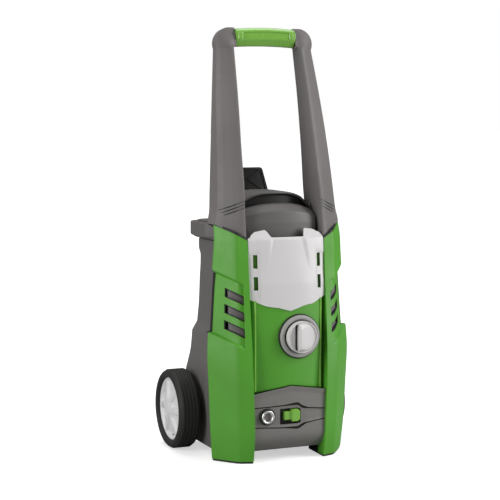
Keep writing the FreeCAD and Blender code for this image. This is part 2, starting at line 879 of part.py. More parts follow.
def make_rear_grille():
    """Louvred air inlet set in the back of the casing, leaning with it."""
    rim, lap, thickness, bar_pitch = 2, 4, 4, 8.6
    half, height = size("grille_half"), size("grille_height")
    frame = Part.makeBox(2 * (half + lap), thickness, height + 2 * lap, Vector(-half - lap, 0, 0))
    opening = Part.makeBox(2 * (half - rim), 2 * thickness, height - 2 * rim,
                           Vector(rim - half, -rim, lap + rim))
    bars = [Part.makeBox(2 * half - rim, thickness, 4, Vector(rim / 2 - half, 0, 8 + bar_pitch * index))
            for index in range(7)]
    grille = frame.cut(opening).multiFuse(bars)
    rise = size("casing_neck") - size("casing_step")
    lean = (size("casing_rear_step") - size("casing_rear_top")) / rise
    grille.rotate(ORIGIN, MIRROR_X, math.degrees(math.atan(lean)))
    bottom = size("grille_bottom") - lap
    back = size("casing_rear_step") - lean * (bottom - size("casing_step")) + 0.2
    grille.translate(Vector(0, back, bottom))
    shape("rear_grille", grille)


def make_rail():
    """Accessory rail round the back, with the flat deck that closes the casing's top."""
    deep = size("rail_depth")
    half, rear = size("casing_half"), size("casing_rear_top") + 10
    bottom, top = size("rail_bottom"), size("casing_top")
    path = casing_path(bottom, half + 0.3, rear + 4)
    for end in (0, -1):
        path[end].y = 2
    ring = thick(path, -deep)
    rail = prism(ring, Vector(0, 0, top - bottom))
    outer = [Vector(spot.x, spot.y, top) for spot in ring[len(path):]]
    deck = prism(outer, Vector(0, 0, size("shell_wall")))
    side_gap, back_gap = size("cover_half") + 0.3, 70.3
    opening = Part.makeBox(2 * side_gap, back_gap + 20, 30, Vector(-side_gap, -20, top - 10))
    tray = rail.cut(doc.getObject("rear_cover").Shape).fuse(deck.cut(opening))
    shape("accessory_rail", tray)


def make_hose_hook():
    """Flared plate behind the motor cover for the coiled hose, on an arm and a leg."""
    back, low, high = size("hook_y"), size("hook_bottom"), size("hook_top")
    half, thickness = size("hook_half"), size("hook_thick")
    right = [Vector(half - 2, back, low), Vector(half, back, low + 12),
             Vector(half - 13, back, high - 4), Vector(half - 19, back, high)]
    left = [Vector(-spot.x, spot.y, spot.z) for spot in reversed(right)]
    plate = prism(right + left, Vector(0, thickness, 0))
    cover_back = 70.5
    arm = Part.makeBox(60, back - cover_back, thickness + 1, Vector(-30, cover_back, low + 2))
    leg = Part.makeBox(60, thickness + 1, 50, Vector(-30, 79, low - 45))
    shape("hose_hook", plate.multiFuse([arm, leg]))


make_motor_cover()
make_rear_cover()
make_rear_grille()
make_rail()
make_hose_hook()


# ---------------------------------------------------------------- switch knob and latch
def make_knob():
    """Round knob with an upright grip ridge; its spindle runs in the switch box."""
    body = new_body("knob")
    pad(body, circle(body, "XZ_Plane", "knob_radius", lift="0 - knob_back"), 8)
    ridge = outline(body, "XZ_Plane", [
        ("0 - 3", "3 - knob_radius"),
        ("13", "6 - knob_radius"),
        ("13", "knob_radius - 6"),
        ("0 - 3", "knob_radius - 3"),
    ], lift="0 - knob_back")
    pad(body, ridge, "knob_back - knob_front")
    put(body, ("knob_x", "0", "knob_z"))
    keep("knob_spindle", cylinder("spindle_radius", 34, ("knob_x", "knob_back", "knob_z"), "Y"))


def make_switch():
    """Bezel dish round the knob, and the switch box behind it."""
    ring = tube("bezel_radius", "knob_radius + 1.5", 25, ("knob_x", "knob_back - 1", "knob_z"), "Y")
    dish = tube("bezel_radius - 4", "spindle_radius + 1", 3, ("knob_x", "knob_back + 3", "knob_z"), "Y")
    keep("knob_bezel", fuse(ring, dish))
    box = block(("knob_x - 18", "knob_back + 24", "knob_z - 20"),
                ("knob_x + 18", "knob_back + 53", "knob_z + 20"))
    bore = cylinder("spindle_radius + running_gap", 18, ("knob_x", "knob_back + 20", "knob_z"), "Y")
    keep("switch_box", cut(box, bore))


def make_latch():
    """Sliding latch beside the outlet, its return spring and the guide behind it."""
    left, right = "latch_x - latch_length / 2", "latch_x + latch_length / 2"
    bottom, top = "latch_z - latch_height / 2", "latch_z + latch_height / 2"
    front, back = "outlet_front + 2", "outlet_front + 18"
    button = block((left, front, bottom), (right, back, top))
    flange = block((left, "outlet_front + 14", f"{bottom} - 4"), (right, back, f"{top} + 4"))
    spring_room = block((f"{left} + 3", "outlet_front + 12", "latch_z - 5"),
                        (f"{right} - 5", f"{back} + 1", "latch_z + 5"))
    keep("latch_button", cut(fuse(button, flange), spring_room))
    guide_front = f"{back} + clear_gap"
    keep("latch_guide", block((f"{left} - 12", guide_front, f"{bottom} - 8"),
                              (f"{right} + 10", f"{back} + 4", f"{top} + 8")))
    turns, coil, wire, length = 6, 2.2, 0.45, 14
    start = size("latch_x") - 11.5
    axis_y, axis_z = size("outlet_front") + 15, size("latch_z")
    helix = Part.makeHelix(length / turns, length, coil)
    bead = Part.Wire(Part.Circle(Vector(coil, 0, 0), Vector(0, 1, 0), wire).toShape())
    spring = Part.Wire(helix).makePipeShell([bead], True, True)
    spring.rotate(ORIGIN, Vector(0, 1, 0), 90)
    spring.translate(Vector(start, axis_y, axis_z))
    shape("latch_spring", spring)


make_knob()
make_switch()
make_latch()


# ---------------------------------------------------------------- motor
def on_axis(level):
    """A place on the motor's upright axis."""
    return ("0", "motor_y", level)


def make_motor():
    """Stator, windings, end shields and bearings that stay still in the housing."""
    stator_top = "stator_bottom + stator_height"
    shield_top = f"{stator_top} + winding_height + 4"
    keep("motor_housing", tube("motor_radius", "motor_radius - 3",
                               f"{shield_top} - crankcase_top",
                               on_axis("crankcase_top + shield_thick")))
    keep("stator_core", tube("motor_radius - 3", "bore_radius", "stator_height",
                             on_axis("stator_bottom")))
    windings = [tube("motor_radius - 5", "bore_radius + 3", "winding_height", on_axis(level))
                for level in ("stator_bottom - winding_height", stator_top)]
    keep("windings", group(*windings))
    shields, bearings = [], []
    for level, radius in (("crankcase_top", "motor_radius"), (shield_top, "motor_radius - 3")):
        shields.append(tube(radius, "bearing_radius", "shield_thick", on_axis(level)))
        bearings.append(tube("bearing_radius", "shaft_radius + running_gap", "bearing_height",
                             on_axis(f"{level} + 1")))
    keep("end_shields", group(*shields))
    keep("motor_bearings", group(*bearings))
    cowl = tube("motor_radius", "motor_radius - 3", 30, on_axis(f"{shield_top} + shield_thick"))
    lid = tube("motor_radius - 3", 24, 3, on_axis(f"{shield_top} + shield_thick + 27"))
    keep("fan_cowl", fuse(cowl, lid))


def make_rotor():
    """What turns: shaft, rotor core, cooling fan and the tilted drive plate."""
    keep("motor_shaft", cylinder("shaft_radius", "shaft_top - shaft_bottom", on_axis("shaft_bottom")))
    keep("rotor_core", tube("bore_radius - 0.6", "shaft_radius", "stator_height",
                            on_axis("stator_bottom")))
    fan = new_body("cooling_fan")
    disc = circle(fan, "XY_Plane", "fan_radius")
    pad(fan, disc, 2)
    pad(fan, circle(fan, "XY_Plane", 15), "fan_height")
    blade = outline(fan, "XY_Plane", [
        ("13", "0 - 1"), ("fan_radius - 2", "7"), ("fan_radius - 2", "9"), ("13", "1"),
    ])
    around(fan, [pad(fan, blade, "fan_height")], "Z_Axis", "fan_blades")
    bore = circle(fan, "XY_Plane", "shaft_radius")
    pocket(fan, bore, 100, both_ways=True)
    put(fan, on_axis("stator_bottom + stator_height + winding_height + 24"))


def make_drive_plate():
    """Swash plate whose tilted face pushes the pistons through a thrust ring."""
    tilted = math.radians(size("swash_tilt"))
    normal = Vector(0, -math.sin(tilted), math.cos(tilted))
    centre = Vector(0, size("motor_y"), size("shaft_bottom") + 10)
    radius, ring_thick = size("swash_radius"), 4
    drum = Part.makeCylinder(radius, 28, centre - Vector(0, 0, 6))
    below = Part.makeCylinder(3 * radius, 60, centre - normal * 60, normal)
    shaft = Part.makeCylinder(size("shaft_radius"), 80, centre - Vector(0, 0, 40))
    shape("swash_plate", drum.cut(below).cut(shaft))
    ring = Part.makeCylinder(radius - 3, ring_thick, centre - normal * ring_thick, normal)
    hole = Part.makeCylinder(radius - 17, ring_thick, centre - normal * ring_thick, normal)
    shape("thrust_ring", ring.cut(hole))


make_motor()
make_rotor()
make_drive_plate()


# ---------------------------------------------------------------- pump
def piston_places():
    """Middles of the piston bores, as formulas, evenly round the motor axis."""
    places = []
    for index in range(int(size("piston_count"))):
        angle = math.radians(90 + 360 * index / size("piston_count"))
        across = f"piston_circle * {math.cos(angle):.4f}"
        along = f"motor_y + piston_circle * {math.sin(angle):.4f}"
        places.append((across, along))
    return places


def make_pump():
    """Head with its two ports, barrel, crankcase, pistons and their springs."""
    head_top = "head_bottom + head_height"
    barrel_top = f"{head_top} + barrel_height"
    bores = [cylinder("piston_radius + running_gap", 40, (*place, f"{head_top} - 24"))
             for place in piston_places()]
    body = cylinder("pump_radius", "head_height", on_axis("head_bottom"))
    out_port = block(("outlet_x - 12", "motor_y - 24", "outlet_z - 12"),
                     ("0 - 20", "motor_y + 10", "outlet_z + 12"))
    in_port = block(("20", "motor_y - 10", f"{head_top} - 18"),
                    ("inlet_x + 12", "motor_y + 28", head_top))
    keep("pump_head", cut(fuse(body, out_port, in_port), *bores))
    keep("pump_barrel", cut(cylinder("pump_radius + 4", "barrel_height", on_axis(head_top)), *bores))
    keep("crankcase", tube("pump_radius + 8", "pump_radius + 4", f"crankcase_top - ({barrel_top})",
                           on_axis(barrel_top)))
    pistons, springs = [], []
    for place in piston_places():
        stem = cylinder("piston_radius", 50, (*place, f"{head_top} - 18"))
        cap = cylinder("piston_radius + 3", 3, (*place, f"{head_top} + 32"))
        pistons.append(fuse(stem, cap))
        springs.append(tube("piston_radius + 2", "piston_radius + 0.6", 18, (*place, barrel_top)))
    keep("pistons", group(*pistons))
    keep("piston_springs", group(*springs))


def make_water_ways():
    """Outlet and inlet: pipes, threaded ends, collar, filter, valve and switch."""
    keep("outlet_connector", tube("outlet_radius", "outlet_bore", 38,
                                  ("outlet_x", "outlet_front", "outlet_z"), "Y"))
    keep("outlet_collar", tube("outlet_radius + 2.6", "outlet_radius", 12,
                               ("outlet_x", "outlet_front + 2", "outlet_z"), "Y"))
    keep("outlet_pipe", tube("hose_radius", "hose_bore", "motor_y - 24 - outlet_front - 38",
                             ("outlet_x", "outlet_front + 38", "outlet_z"), "Y"))
    keep("unloader_valve", cylinder("hose_radius", 30,
                                    ("outlet_x - 42", "motor_y - 8", "outlet_z"), "X"))
    keep("pressure_switch", block(("outlet_x - 40", "motor_y - 16", "outlet_z + hose_radius"),
                                  ("outlet_x - 20", "motor_y", "outlet_z + hose_radius + 20")))
    pipe_start, pipe_end = "motor_y + 28", "inlet_end - 40"
    keep("inlet_pipe", tube("hose_radius - 1", "hose_bore", f"{pipe_end} - ({pipe_start})",
                            ("inlet_x", pipe_start, "inlet_z"), "Y"))
    keep("inlet_connector", tube("inlet_radius", "inlet_bore", 40,
                                 ("inlet_x", pipe_end, "inlet_z"), "Y"))
    seat = tube("inlet_bore", "inlet_bore - 2", 2, ("inlet_x", f"{pipe_end} + 2", "inlet_z"), "Y")
    sieve = tube("inlet_bore - 1", "inlet_bore - 2", 26, ("inlet_x", f"{pipe_end} + 4", "inlet_z"), "Y")
    keep("inlet_filter", fuse(seat, sieve))
    keep("cable_gland", tube("gland_radius", "gland_bore", 22,
                             ("gland_x", "casing_rear_low - 12", "inlet_z"), "Y"))


make_pump()
make_water_ways()
keep("capacitor", cylinder("capacitor_radius", "capacitor_length", ("84", "30", "stator_bottom + 10")))


def write_parts():
    """Check every object of the document, then write one file for each sub-part."""
    doc.recompute()
    for thing in doc.Objects:
        faults = {"Invalid", "Error"} & set(thing.State)
        if faults:
            raise RuntimeError(f"{thing.Name} ({thing.Label}) failed: {sorted(faults)}")
    labels = [thing.Label for thing in nodes]
    if len(set(labels)) != len(labels):
        raise RuntimeError("two sub-parts share a label")
    os.makedirs("parts", exist_ok=True)
    middle_y = (size("wheel_y") + size("wheel_radius") + size("knob_front")) / 2
    for thing in nodes:
        solid = thing.Shape.copy()
        solid.translate(Vector(0, -middle_y, 0))
        if solid.isNull() or not solid.isValid() or solid.Volume <= 0:
            raise RuntimeError(f"{thing.Label} has no valid solid")
        solid.exportStep(f"parts/{thing.Label}.step")


write_parts()
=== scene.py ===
import json
import math

import bmesh
import bpy
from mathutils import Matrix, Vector


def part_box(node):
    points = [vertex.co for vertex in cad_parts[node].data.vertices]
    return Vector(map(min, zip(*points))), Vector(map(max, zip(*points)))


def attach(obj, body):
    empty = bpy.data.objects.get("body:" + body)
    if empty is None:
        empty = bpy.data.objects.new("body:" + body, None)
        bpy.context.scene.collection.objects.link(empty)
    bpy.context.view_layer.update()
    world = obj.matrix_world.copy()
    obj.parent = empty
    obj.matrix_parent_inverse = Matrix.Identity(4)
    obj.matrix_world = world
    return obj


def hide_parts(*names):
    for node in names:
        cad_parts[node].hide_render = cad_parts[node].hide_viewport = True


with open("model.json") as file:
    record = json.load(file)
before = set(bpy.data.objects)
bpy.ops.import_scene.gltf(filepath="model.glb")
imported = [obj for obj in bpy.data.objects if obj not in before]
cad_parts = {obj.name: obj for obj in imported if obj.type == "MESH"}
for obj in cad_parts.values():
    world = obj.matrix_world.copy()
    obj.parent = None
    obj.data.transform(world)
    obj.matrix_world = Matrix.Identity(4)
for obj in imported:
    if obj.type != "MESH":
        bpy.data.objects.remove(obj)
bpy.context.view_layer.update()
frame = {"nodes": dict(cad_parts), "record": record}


MM = 0.001
# Pieces are set out from a plane this far (mm) in front of the frame's origin.
ORIGIN_Y = 5.5
SIDES = {"left": -1, "right": 1}
RECORD_SLOTS = {part["node"]: part["material_slot"] for part in frame["record"]["subparts"]}


# ---------------------------------------------------------------- small maths
def mix(start, end, share):
    return start + (end - start) * share


def ease(value, low, high):
    """0 below low, 1 above high, and a smooth rise between them."""
    share = min(max((value - low) / (high - low), 0.0), 1.0)
    return share * share * (3 - 2 * share)


def window(value, low, high, soft):
    """1 between low and high, 0 outside, with soft edges inside the span."""
    return ease(value, low, low + soft) * (1 - ease(value, high - soft, high))


def along(keys, value):
    """Smooth value of a quantity given as (place, amount) keys in rising order."""
    places = [key[0] for key in keys]
    if value <= places[0]:
        return keys[0][1]
    if value >= places[-1]:
        return keys[-1][1]
    index = max(i for i, place in enumerate(places) if place <= value)

    def slope(i):
        if i in (0, len(keys) - 1):
            return 0.0
        before = (keys[i][1] - keys[i - 1][1]) / (places[i] - places[i - 1])
        after = (keys[i + 1][1] - keys[i][1]) / (places[i + 1] - places[i])
        return 0.0 if before * after <= 0 else 2 * before * after / (before + after)

    first, last = slope(index), slope(index + 1)
    if index == 0:
        first = (keys[1][1] - keys[0][1]) / (places[1] - places[0])
    if index + 1 == len(keys) - 1:
        last = (keys[-1][1] - keys[-2][1]) / (places[-1] - places[-2])
    span = places[index + 1] - places[index]
    s = (value - places[index]) / span
    return ((2 * s**3 - 3 * s**2 + 1) * keys[index][1] + (s**3 - 2 * s**2 + s) * span * first
            + (3 * s**2 - 2 * s**3) * keys[index + 1][1] + (s**3 - s**2) * span * last)


def steps(low, high, count):
    return [mix(low, high, i / count) for i in range(count + 1)]


def merged(*lists, nearest=0.05):
    """One rising list from several, without near repeats."""
    values = []
    for value in sorted(v for part in lists for v in part):
        if not values or value - values[-1] > nearest:
            values.append(value)
    return values


def snap(values, marks):
    """Move the value nearest to each mark onto it."""
    for mark in marks:
        values[min(range(len(values)), key=lambda i: abs(values[i] - mark))] = mark


def straight(keys, value):
    """A quantity given as (place, amount) keys, in straight lines from key to key."""
    for (a, low), (b, high) in zip(keys, keys[1:]):
        if value <= b:
            return mix(low, high, (value - a) / (b - a))
    return keys[-1][1]


def rounded(corners, radii, bend=5, straight=4, closed=False):
    """Corners joined by straight runs, each corner swapped for a curve of about its radius."""
    points = [Vector(corner) for corner in corners]
    count = len(points)
    ends = []
    for i, point in enumerate(points):
        if not closed and i in (0, count - 1):
            ends.append((point, point))
            continue
        to_last = points[i - 1] - point
        to_next = points[(i + 1) % count] - point
        half = to_last.angle(to_next) / 2
        reach = radii[i] / max(math.tan(half), 0.05)
        reach = min(reach, to_last.length * 0.49, to_next.length * 0.49)
        ends.append((point + to_last.normalized() * reach, point + to_next.normalized() * reach))
    path = []
    for i, point in enumerate(points):
        start, end = ends[i]
        if (start - end).length < 1e-6:
            path.append(start.copy())
        else:
            for s in steps(0, 1, bend):
                path.append(start * (1 - s) ** 2 + point * (2 * s * (1 - s)) + end * s * s)
        if i < count - 1 or closed:
            after = ends[(i + 1) % count][0]
            for s in steps(0, 1, straight)[1:-1]:
                path.append(end.lerp(after, s))
    return path


# ---------------------------------------------------------------- building pieces
def new_object(name, data):
    thing = bpy.data.objects.new(name, data)
    bpy.context.scene.collection.objects.link(thing)
    return thing


def grid_faces(rows, columns, closed=False, skip=None):
    """Four-sided faces over a grid of points, which a closed grid joins round in each row."""
    faces = []
    for row in range(rows - 1):
        for column in range(columns if closed else columns - 1):
            if skip and skip(row, column):
                continue
            a = row * columns + column
            b = row * columns + (column + 1) % columns
            faces.append((a, b, b + columns, a + columns))
    return faces


def capped_tube(loops):
    """Points and faces of a tube through closed loops, with a flat face at each end."""
    count = len(loops[0])
    points = [point for loop in loops for point in loop]
    faces = grid_faces(len(loops), count, closed=True)
    faces += [tuple(range(count)), tuple(len(points) - count + i for i in range(count))]
    return points, faces


def join(points, faces, more_points, more_faces):
    """Append a second mesh's points and faces to the first one's."""
    faces += [tuple(len(points) + i for i in face) for face in more_faces]
    points += more_points


def add_piece(name, points, faces, look, body="casing", stands_for=(), mirror=False,
              wall=0.0, bevel=0.0, angle=30, inside=None, tinted=None):
    """A named piece from points in millimetres, riding on a body, with its material.

    Y is measured from the plane the front pillars are set out from, as in the CAD source.
    """
    flip = -1 if mirror else 1
    mesh = bpy.data.meshes.new(name)
    mesh.from_pydata([Vector((p[0] * flip, p[1] - ORIGIN_Y, p[2])) * MM for p in points], [], faces)
    mesh.validate()
    piece = new_object(name, mesh)
    shell = bmesh.new()
    shell.from_mesh(mesh)
    bmesh.ops.remove_doubles(shell, verts=shell.verts, dist=1e-6)
    bmesh.ops.recalc_face_normals(shell, faces=shell.faces)
    if inside is not None:
        middle = Vector((inside[0] * flip, inside[1] - ORIGIN_Y, inside[2])) * MM
        lean = sum(f.normal.dot(f.calc_center_median() - middle) * f.calc_area() for f in shell.faces)
        if lean < 0:
            bmesh.ops.reverse_faces(shell, faces=shell.faces)
    shell.to_mesh(mesh)
    shell.free()
    mesh.shade_smooth()
    if wall:
        solid = piece.modifiers.new("wall", "SOLIDIFY")
        solid.thickness = wall * MM
        solid.offset = -1
        solid.use_even_offset = False
    if bevel:
        edge = piece.modifiers.new("edge", "BEVEL")
        edge.width = bevel * MM
        edge.segments = 3
        edge.limit_method = "ANGLE"
        edge.angle_limit = math.radians(angle)
        piece.modifiers.new("normals", "WEIGHTED_NORMAL").keep_sharp = True
    mesh.materials.append(MATERIALS[look])
    if tinted:
        mesh.materials.append(MATERIALS[tinted[0]])
        for face in mesh.polygons:
            if tinted[1](face.index):
                face.material_index = 1
    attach(piece, body)
    if stands_for:
        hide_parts(*stands_for)
    return piece


def surface(name, rows, look, skip=None, closed=False, tint=None, **options):
    """A piece from rows of points, each row with as many points as the next.

    tint is a second material and a test of row and column for the faces that take it.
    """
    points = [point for row in rows for point in row]
    width = len(rows[0])
    faces = grid_faces(len(rows), width, closed, skip)
    if tint:
        second, test = tint
        chosen = {i for i, face in enumerate(faces) if test(face[0] // width, face[0] % width)}
        options["tinted"] = (second, chosen.__contains__)
    return add_piece(name, points, faces, look, **options)


def turned(name, profile, look, centre, axis="Y", count=64, **options):
    """A piece turned about a line along X or Y. The profile is (distance along, radius)."""
    rows = []
    for distance, radius in profile:
        ring = []
        for i in range(count):
            angle = 2 * math.pi * i / count
            across, up = radius * math.cos(angle), radius * math.sin(angle)
            if axis == "Y":
                ring.append((centre[0] + across, distance, centre[2] + up))
            else:
                ring.append((distance, centre[1] + across, centre[2] + up))
        rows.append(ring)
    return surface(name, rows, look, closed=True, **options)


# ---------------------------------------------------------------- materials
def set_inputs(node, **values):
    """Set a node's sockets, each named with underscores for its spaces."""
    for name, value in values.items():
        node.inputs[name.replace("_", " ")].default_value = value


def new_material(name, colour, roughness, metallic=0.0, coat=0.0):
    material = bpy.data.materials.new(name)
    material.use_nodes = True
    nodes, links = material.node_tree.nodes, material.node_tree.links
    shader = nodes["Principled BSDF"]
    set_inputs(shader, Base_Color=(*colour, 1), Metallic=metallic, Roughness=roughness,
               Coat_Weight=coat, Coat_Roughness=0.12)
    place = nodes.new("ShaderNodeTexCoord")
    return material, nodes, links, shader, place


def noise(nodes, links, place, scale, detail):
    texture = nodes.new("ShaderNodeTexNoise")
    set_inputs(texture, Scale=scale, Detail=detail)
    links.new(place.outputs["Object"], texture.inputs["Vector"])
    return texture


def vary(nodes, links, source, low, high):
    """Spread a texture's value over a range."""
    spread = nodes.new("ShaderNodeMapRange")
    set_inputs(spread, From_Min=0.3, From_Max=0.7, To_Min=low, To_Max=high)
    links.new(source.outputs["Fac"], spread.inputs["Value"])
    return spread


def shade(nodes, links, shader, source, colour, drift):
    """Let the base colour drift a little between a darker and a lighter tone."""
    tones = nodes.new("ShaderNodeMix")
    tones.data_type = "RGBA"
    set_inputs(tones, A=(*[c * (1 - drift) for c in colour], 1),
               B=(*[min(c * (1 + drift), 1) for c in colour], 1))
    links.new(source.outputs["Result"], tones.inputs["Factor"])
    links.new(tones.outputs["Result"], shader.inputs["Base Color"])


def moulded(name, colour, roughness, grain, depth, drift, coat=0.0, metallic=0.0):
    """Moulded plastic or rubber: fine grain, faint flow marks and uneven gloss."""
    material, nodes, links, shader, place = new_material(name, colour, roughness, metallic, coat)
    flow = noise(nodes, links, place, 9.0, 2.0)
    shade(nodes, links, shader, vary(nodes, links, flow, 0.0, 1.0), colour, drift)
    gloss = noise(nodes, links, place, 60.0, 4.0)
    spread = vary(nodes, links, gloss, roughness - 0.05, roughness + 0.06)
    links.new(spread.outputs["Result"], shader.inputs["Roughness"])
    fine = noise(nodes, links, place, grain, 2.0)
    bump = nodes.new("ShaderNodeBump")
    set_inputs(bump, Strength=depth, Distance=0.0003)
    links.new(fine.outputs["Fac"], bump.inputs["Height"])
    links.new(bump.outputs["Normal"], shader.inputs["Normal"])
    return material


def metal(name, colour, roughness):
    """Turned or cast metal with fine scratches."""
    return moulded(name, colour, roughness, grain=1500.0, depth=0.06, drift=0.06, metallic=1.0)


MATERIALS = {
    "green_plastic": moulded("green_plastic", (0.108, 0.42, 0.034), 0.44, 700.0, 0.06, 0.06),
    "grip_green": moulded("grip_green", (0.24, 0.56, 0.075), 0.24, 500.0, 0.03, 0.05, coat=0.4),
    "grey_plastic": moulded("grey_plastic", (0.200, 0.186, 0.182), 0.48, 900.0, 0.16, 0.05),
    # Darker copy of grey_plastic: painted shade for the rear cover, motor cover, rail and deck.
    "shell_plastic": moulded("shell_plastic", (0.158, 0.148, 0.145), 0.48, 900.0, 0.16, 0.05),
    # Lighter copy of grey_plastic: painted light for the lower panel.
    "grey_plastic_painted_light": moulded("grey_plastic_painted_light", (0.245, 0.232, 0.222), 0.48, 900.0, 0.16, 0.05),
    "silver_plastic": moulded("silver_plastic", (0.83, 0.81, 0.81), 0.38, 1200.0, 0.04, 0.02, coat=0.1),
    "bezel_plastic": moulded("bezel_plastic", (0.46, 0.45, 0.44), 0.34, 1200.0, 0.04, 0.02, coat=0.1),
    "rim_plastic": moulded("rim_plastic", (0.86, 0.86, 0.86), 0.32, 800.0, 0.04, 0.03, coat=0.2),
    "tyre_rubber": moulded("tyre_rubber", (0.022, 0.020, 0.019), 0.62, 500.0, 0.25, 0.12),
    "foot_rubber": moulded("foot_rubber", (0.020, 0.019, 0.019), 0.60, 500.0, 0.25, 0.12),
    "black_plastic": moulded("black_plastic", (0.018, 0.017, 0.016), 0.45, 800.0, 0.14, 0.08),
    "steel": metal("steel", (0.55, 0.55, 0.56), 0.32),
    "brass": metal("brass", (0.62, 0.46, 0.20), 0.35),
    "aluminium": metal("aluminium", (0.66, 0.67, 0.68), 0.42),
    "copper": metal("copper", (0.55, 0.24, 0.11), 0.30),
    "bright_metal": metal("bright_metal", (0.93, 0.93, 0.92), 0.34),
    "hose_rubber": moulded("hose_rubber", (0.025, 0.025, 0.025), 0.55, 600.0, 0.2, 0.1),
}


def dress_frame():
    """Give every carried-over CAD node the material of its slot."""
    for name, node in frame["nodes"].items():
        material = MATERIALS[RECORD_SLOTS[name]]
        node.data.materials.clear()
        node.data.materials.append(material)


dress_frame()


# ---------------------------------------------------------------- front pillars
# Keys of the skin's inner and outer edge: level above the floor, then X or Y there.
INNER_X = [(0, 71.2), (60, 71.8), (126, 74), (210, 75.6), (300, 76.6), (412, 77)]
INNER_Y = [(0, -107.5), (60, -115), (126, -116.2), (210, -112), (300, -102.8), (412, -91.5)]
OUTER_X = [(0, 131.5), (60, 136.5), (120, 140), (165, 142.6), (205, 140.5), (300, 134), (330, 131),
           (412, 126)]
OUTER_Y = [(0, -54), (60, -58), (165, -60), (205, -58), (330, -56.5), (380, -57), (412, -50)]
INNER_EDGE = 76
PILLAR_WIDTH = 64
CREASE_SLOPE = 0.55
CREASE_LOW, CREASE_HIGH, CREASE_RISE = 204.0, 325.0, 8.0
# The level of the joint between a pillar and its upright, and the gap under a pillar.
SEAM_LEVEL = 409.2
FOOT_GAP = 4.0
# Windows: levels of each one's lower and upper edge, and their edges as shares across a pillar.
WINDOW_LEVELS = [(226, 243), (256, 273), (286, 303)]
WINDOW_INNER, WINDOW_OUTER = 0.165, 0.70
# The share where the skin stands out most, and the span in X of the ribbed panel behind.
RIDGE = 0.30
LOUVRE_SPAN = (81, 109)


def level_height(level, x):
    """Height of a point: lines across a pillar climb outwards, but lie flat at the foot."""
    return level + CREASE_SLOPE * ease(level, 40, 200) * (x - INNER_EDGE)


def in_band(level):
    """1 in the set-back band that holds the windows, 0 above and below it."""
    return (ease(level, CREASE_LOW, CREASE_LOW + CREASE_RISE)
            * (1 - ease(level, CREASE_HIGH - 3, CREASE_HIGH + 0.5)))


def pillar_point(level, share, depth=0.0):
    """A point on a pillar's skin, from 0 at its inner edge to 1 at its outer edge."""
    inner = Vector((along(INNER_X, level), along(INNER_Y, level), 0))
    outer = Vector((along(OUTER_X, level), along(OUTER_Y, level), 0))
    outer = outer.lerp(inner, 0.055 * in_band(level))
    outward = Vector((inner.y - outer.y, outer.x - inner.x, 0)).normalized()
    if outward.y > 0:
        outward = -outward
    tent = 1 - abs(share - RIDGE) / (RIDGE if share < RIDGE else 1 - RIDGE)
    bulge = 9.5 * min(tent, 0.92) + 1.2 * math.sin(math.pi * share)
    point = inner.lerp(outer, share) + outward * (bulge - depth)
    return Vector((point.x, point.y, level_height(level, point.x)))


def recess_depth(level, share):
    """How far the window band lies behind the rest of the skin: deeper towards its outer edge."""
    band_edge = ease(share, WINDOW_INNER - 0.03, WINDOW_INNER - 0.002)
    return in_band(level) * band_edge * mix(2.6, 9.0, share)


def pillar_levels():
    """Heights of the rows on a pillar's skin, with a row on each window's edges."""
    band = CREASE_RISE
    window_edges = [edge for pair in WINDOW_LEVELS for edge in pair]
    levels = merged(
        [FOOT_GAP, FOOT_GAP + 0.8], steps(6, CREASE_LOW, 22),
        steps(CREASE_LOW, CREASE_LOW + band, 5),
        steps(CREASE_LOW + band, CREASE_HIGH - band, 10),
        window_edges,
        steps(CREASE_HIGH - band, CREASE_HIGH + 0.5, 7),
        steps(CREASE_HIGH, SEAM_LEVEL, 9),
        nearest=1.2,
    )
    snap(levels, window_edges)
    return levels


def make_pillars():
    """Green skin of each pillar with three window holes, and the small pieces that go with it."""
    levels = pillar_levels()
    shares = merged(steps(0, WINDOW_INNER - 0.035, 4), steps(WINDOW_INNER - 0.03, WINDOW_INNER, 3),
                    steps(WINDOW_INNER, RIDGE - 0.03, 3), steps(RIDGE - 0.02, RIDGE + 0.02, 4),
                    steps(RIDGE + 0.03, WINDOW_OUTER, 6),
                    steps(WINDOW_OUTER, 1, 6), nearest=0.006)
    snap(shares, (WINDOW_INNER, WINDOW_OUTER))
    back_steps = [Vector((-0.3, 26, 0)), Vector((-0.3, 14, 0)), Vector((-0.3, 4, 0)), Vector((0, 1.2, 0))]
    edge_steps = [Vector(step) for step in ((0.3, 1.2, 0), (-0.6, 4, 0), (-2.4, 9, 0), (-6, 12, 0))]
    rows = []
    for level in levels:
        face = [pillar_point(level, share, recess_depth(level, share)) for share in shares]
        rows.append([face[0] + step for step in back_steps] + face
                    + [face[-1] + step for step in edge_steps])

    def in_window(row, column):
        index = column - len(back_steps)
        if not 0 <= index < len(shares) - 1:
            return False
        if shares[index] < WINDOW_INNER - 0.001 or shares[index + 1] > WINDOW_OUTER + 0.001:
            return False
        return any(a - 0.1 <= levels[row] and levels[row + 1] <= b + 0.1 for a, b in WINDOW_LEVELS)

    for name, side in SIDES.items():
        surface(f"pillar_skin_{name}", rows, "green_plastic", skip=in_window,
                stands_for=[f"pillar_{name}"], mirror=side < 0, wall=2.6, bevel=0.7, angle=28,
                inside=(90, 20, 200))
        make_window_frames(name, side)
        make_seam_liner(name, side)
        make_edge_teeth(name, side)
        make_foot_pad(name, side)


def make_seam_liner(name, side):
    """Dark strip showing in the joint between a pillar and its upright."""
    rows = []
    for level in (SEAM_LEVEL - 3.5, SEAM_LEVEL + 5.0):
        face = [pillar_point(level, share, 1.8) for share in steps(0.0, 1.0, 24)]
        rows.append([face[0] + Vector((0.4, 20, 0))] + face
                    + [face[-1] + Vector((-1, 4, 0)), face[-1] + Vector((-3, 16, 0))])
    surface(f"seam_liner_{name}", rows, "black_plastic", mirror=side < 0, wall=1, inside=(90, 20, 410))


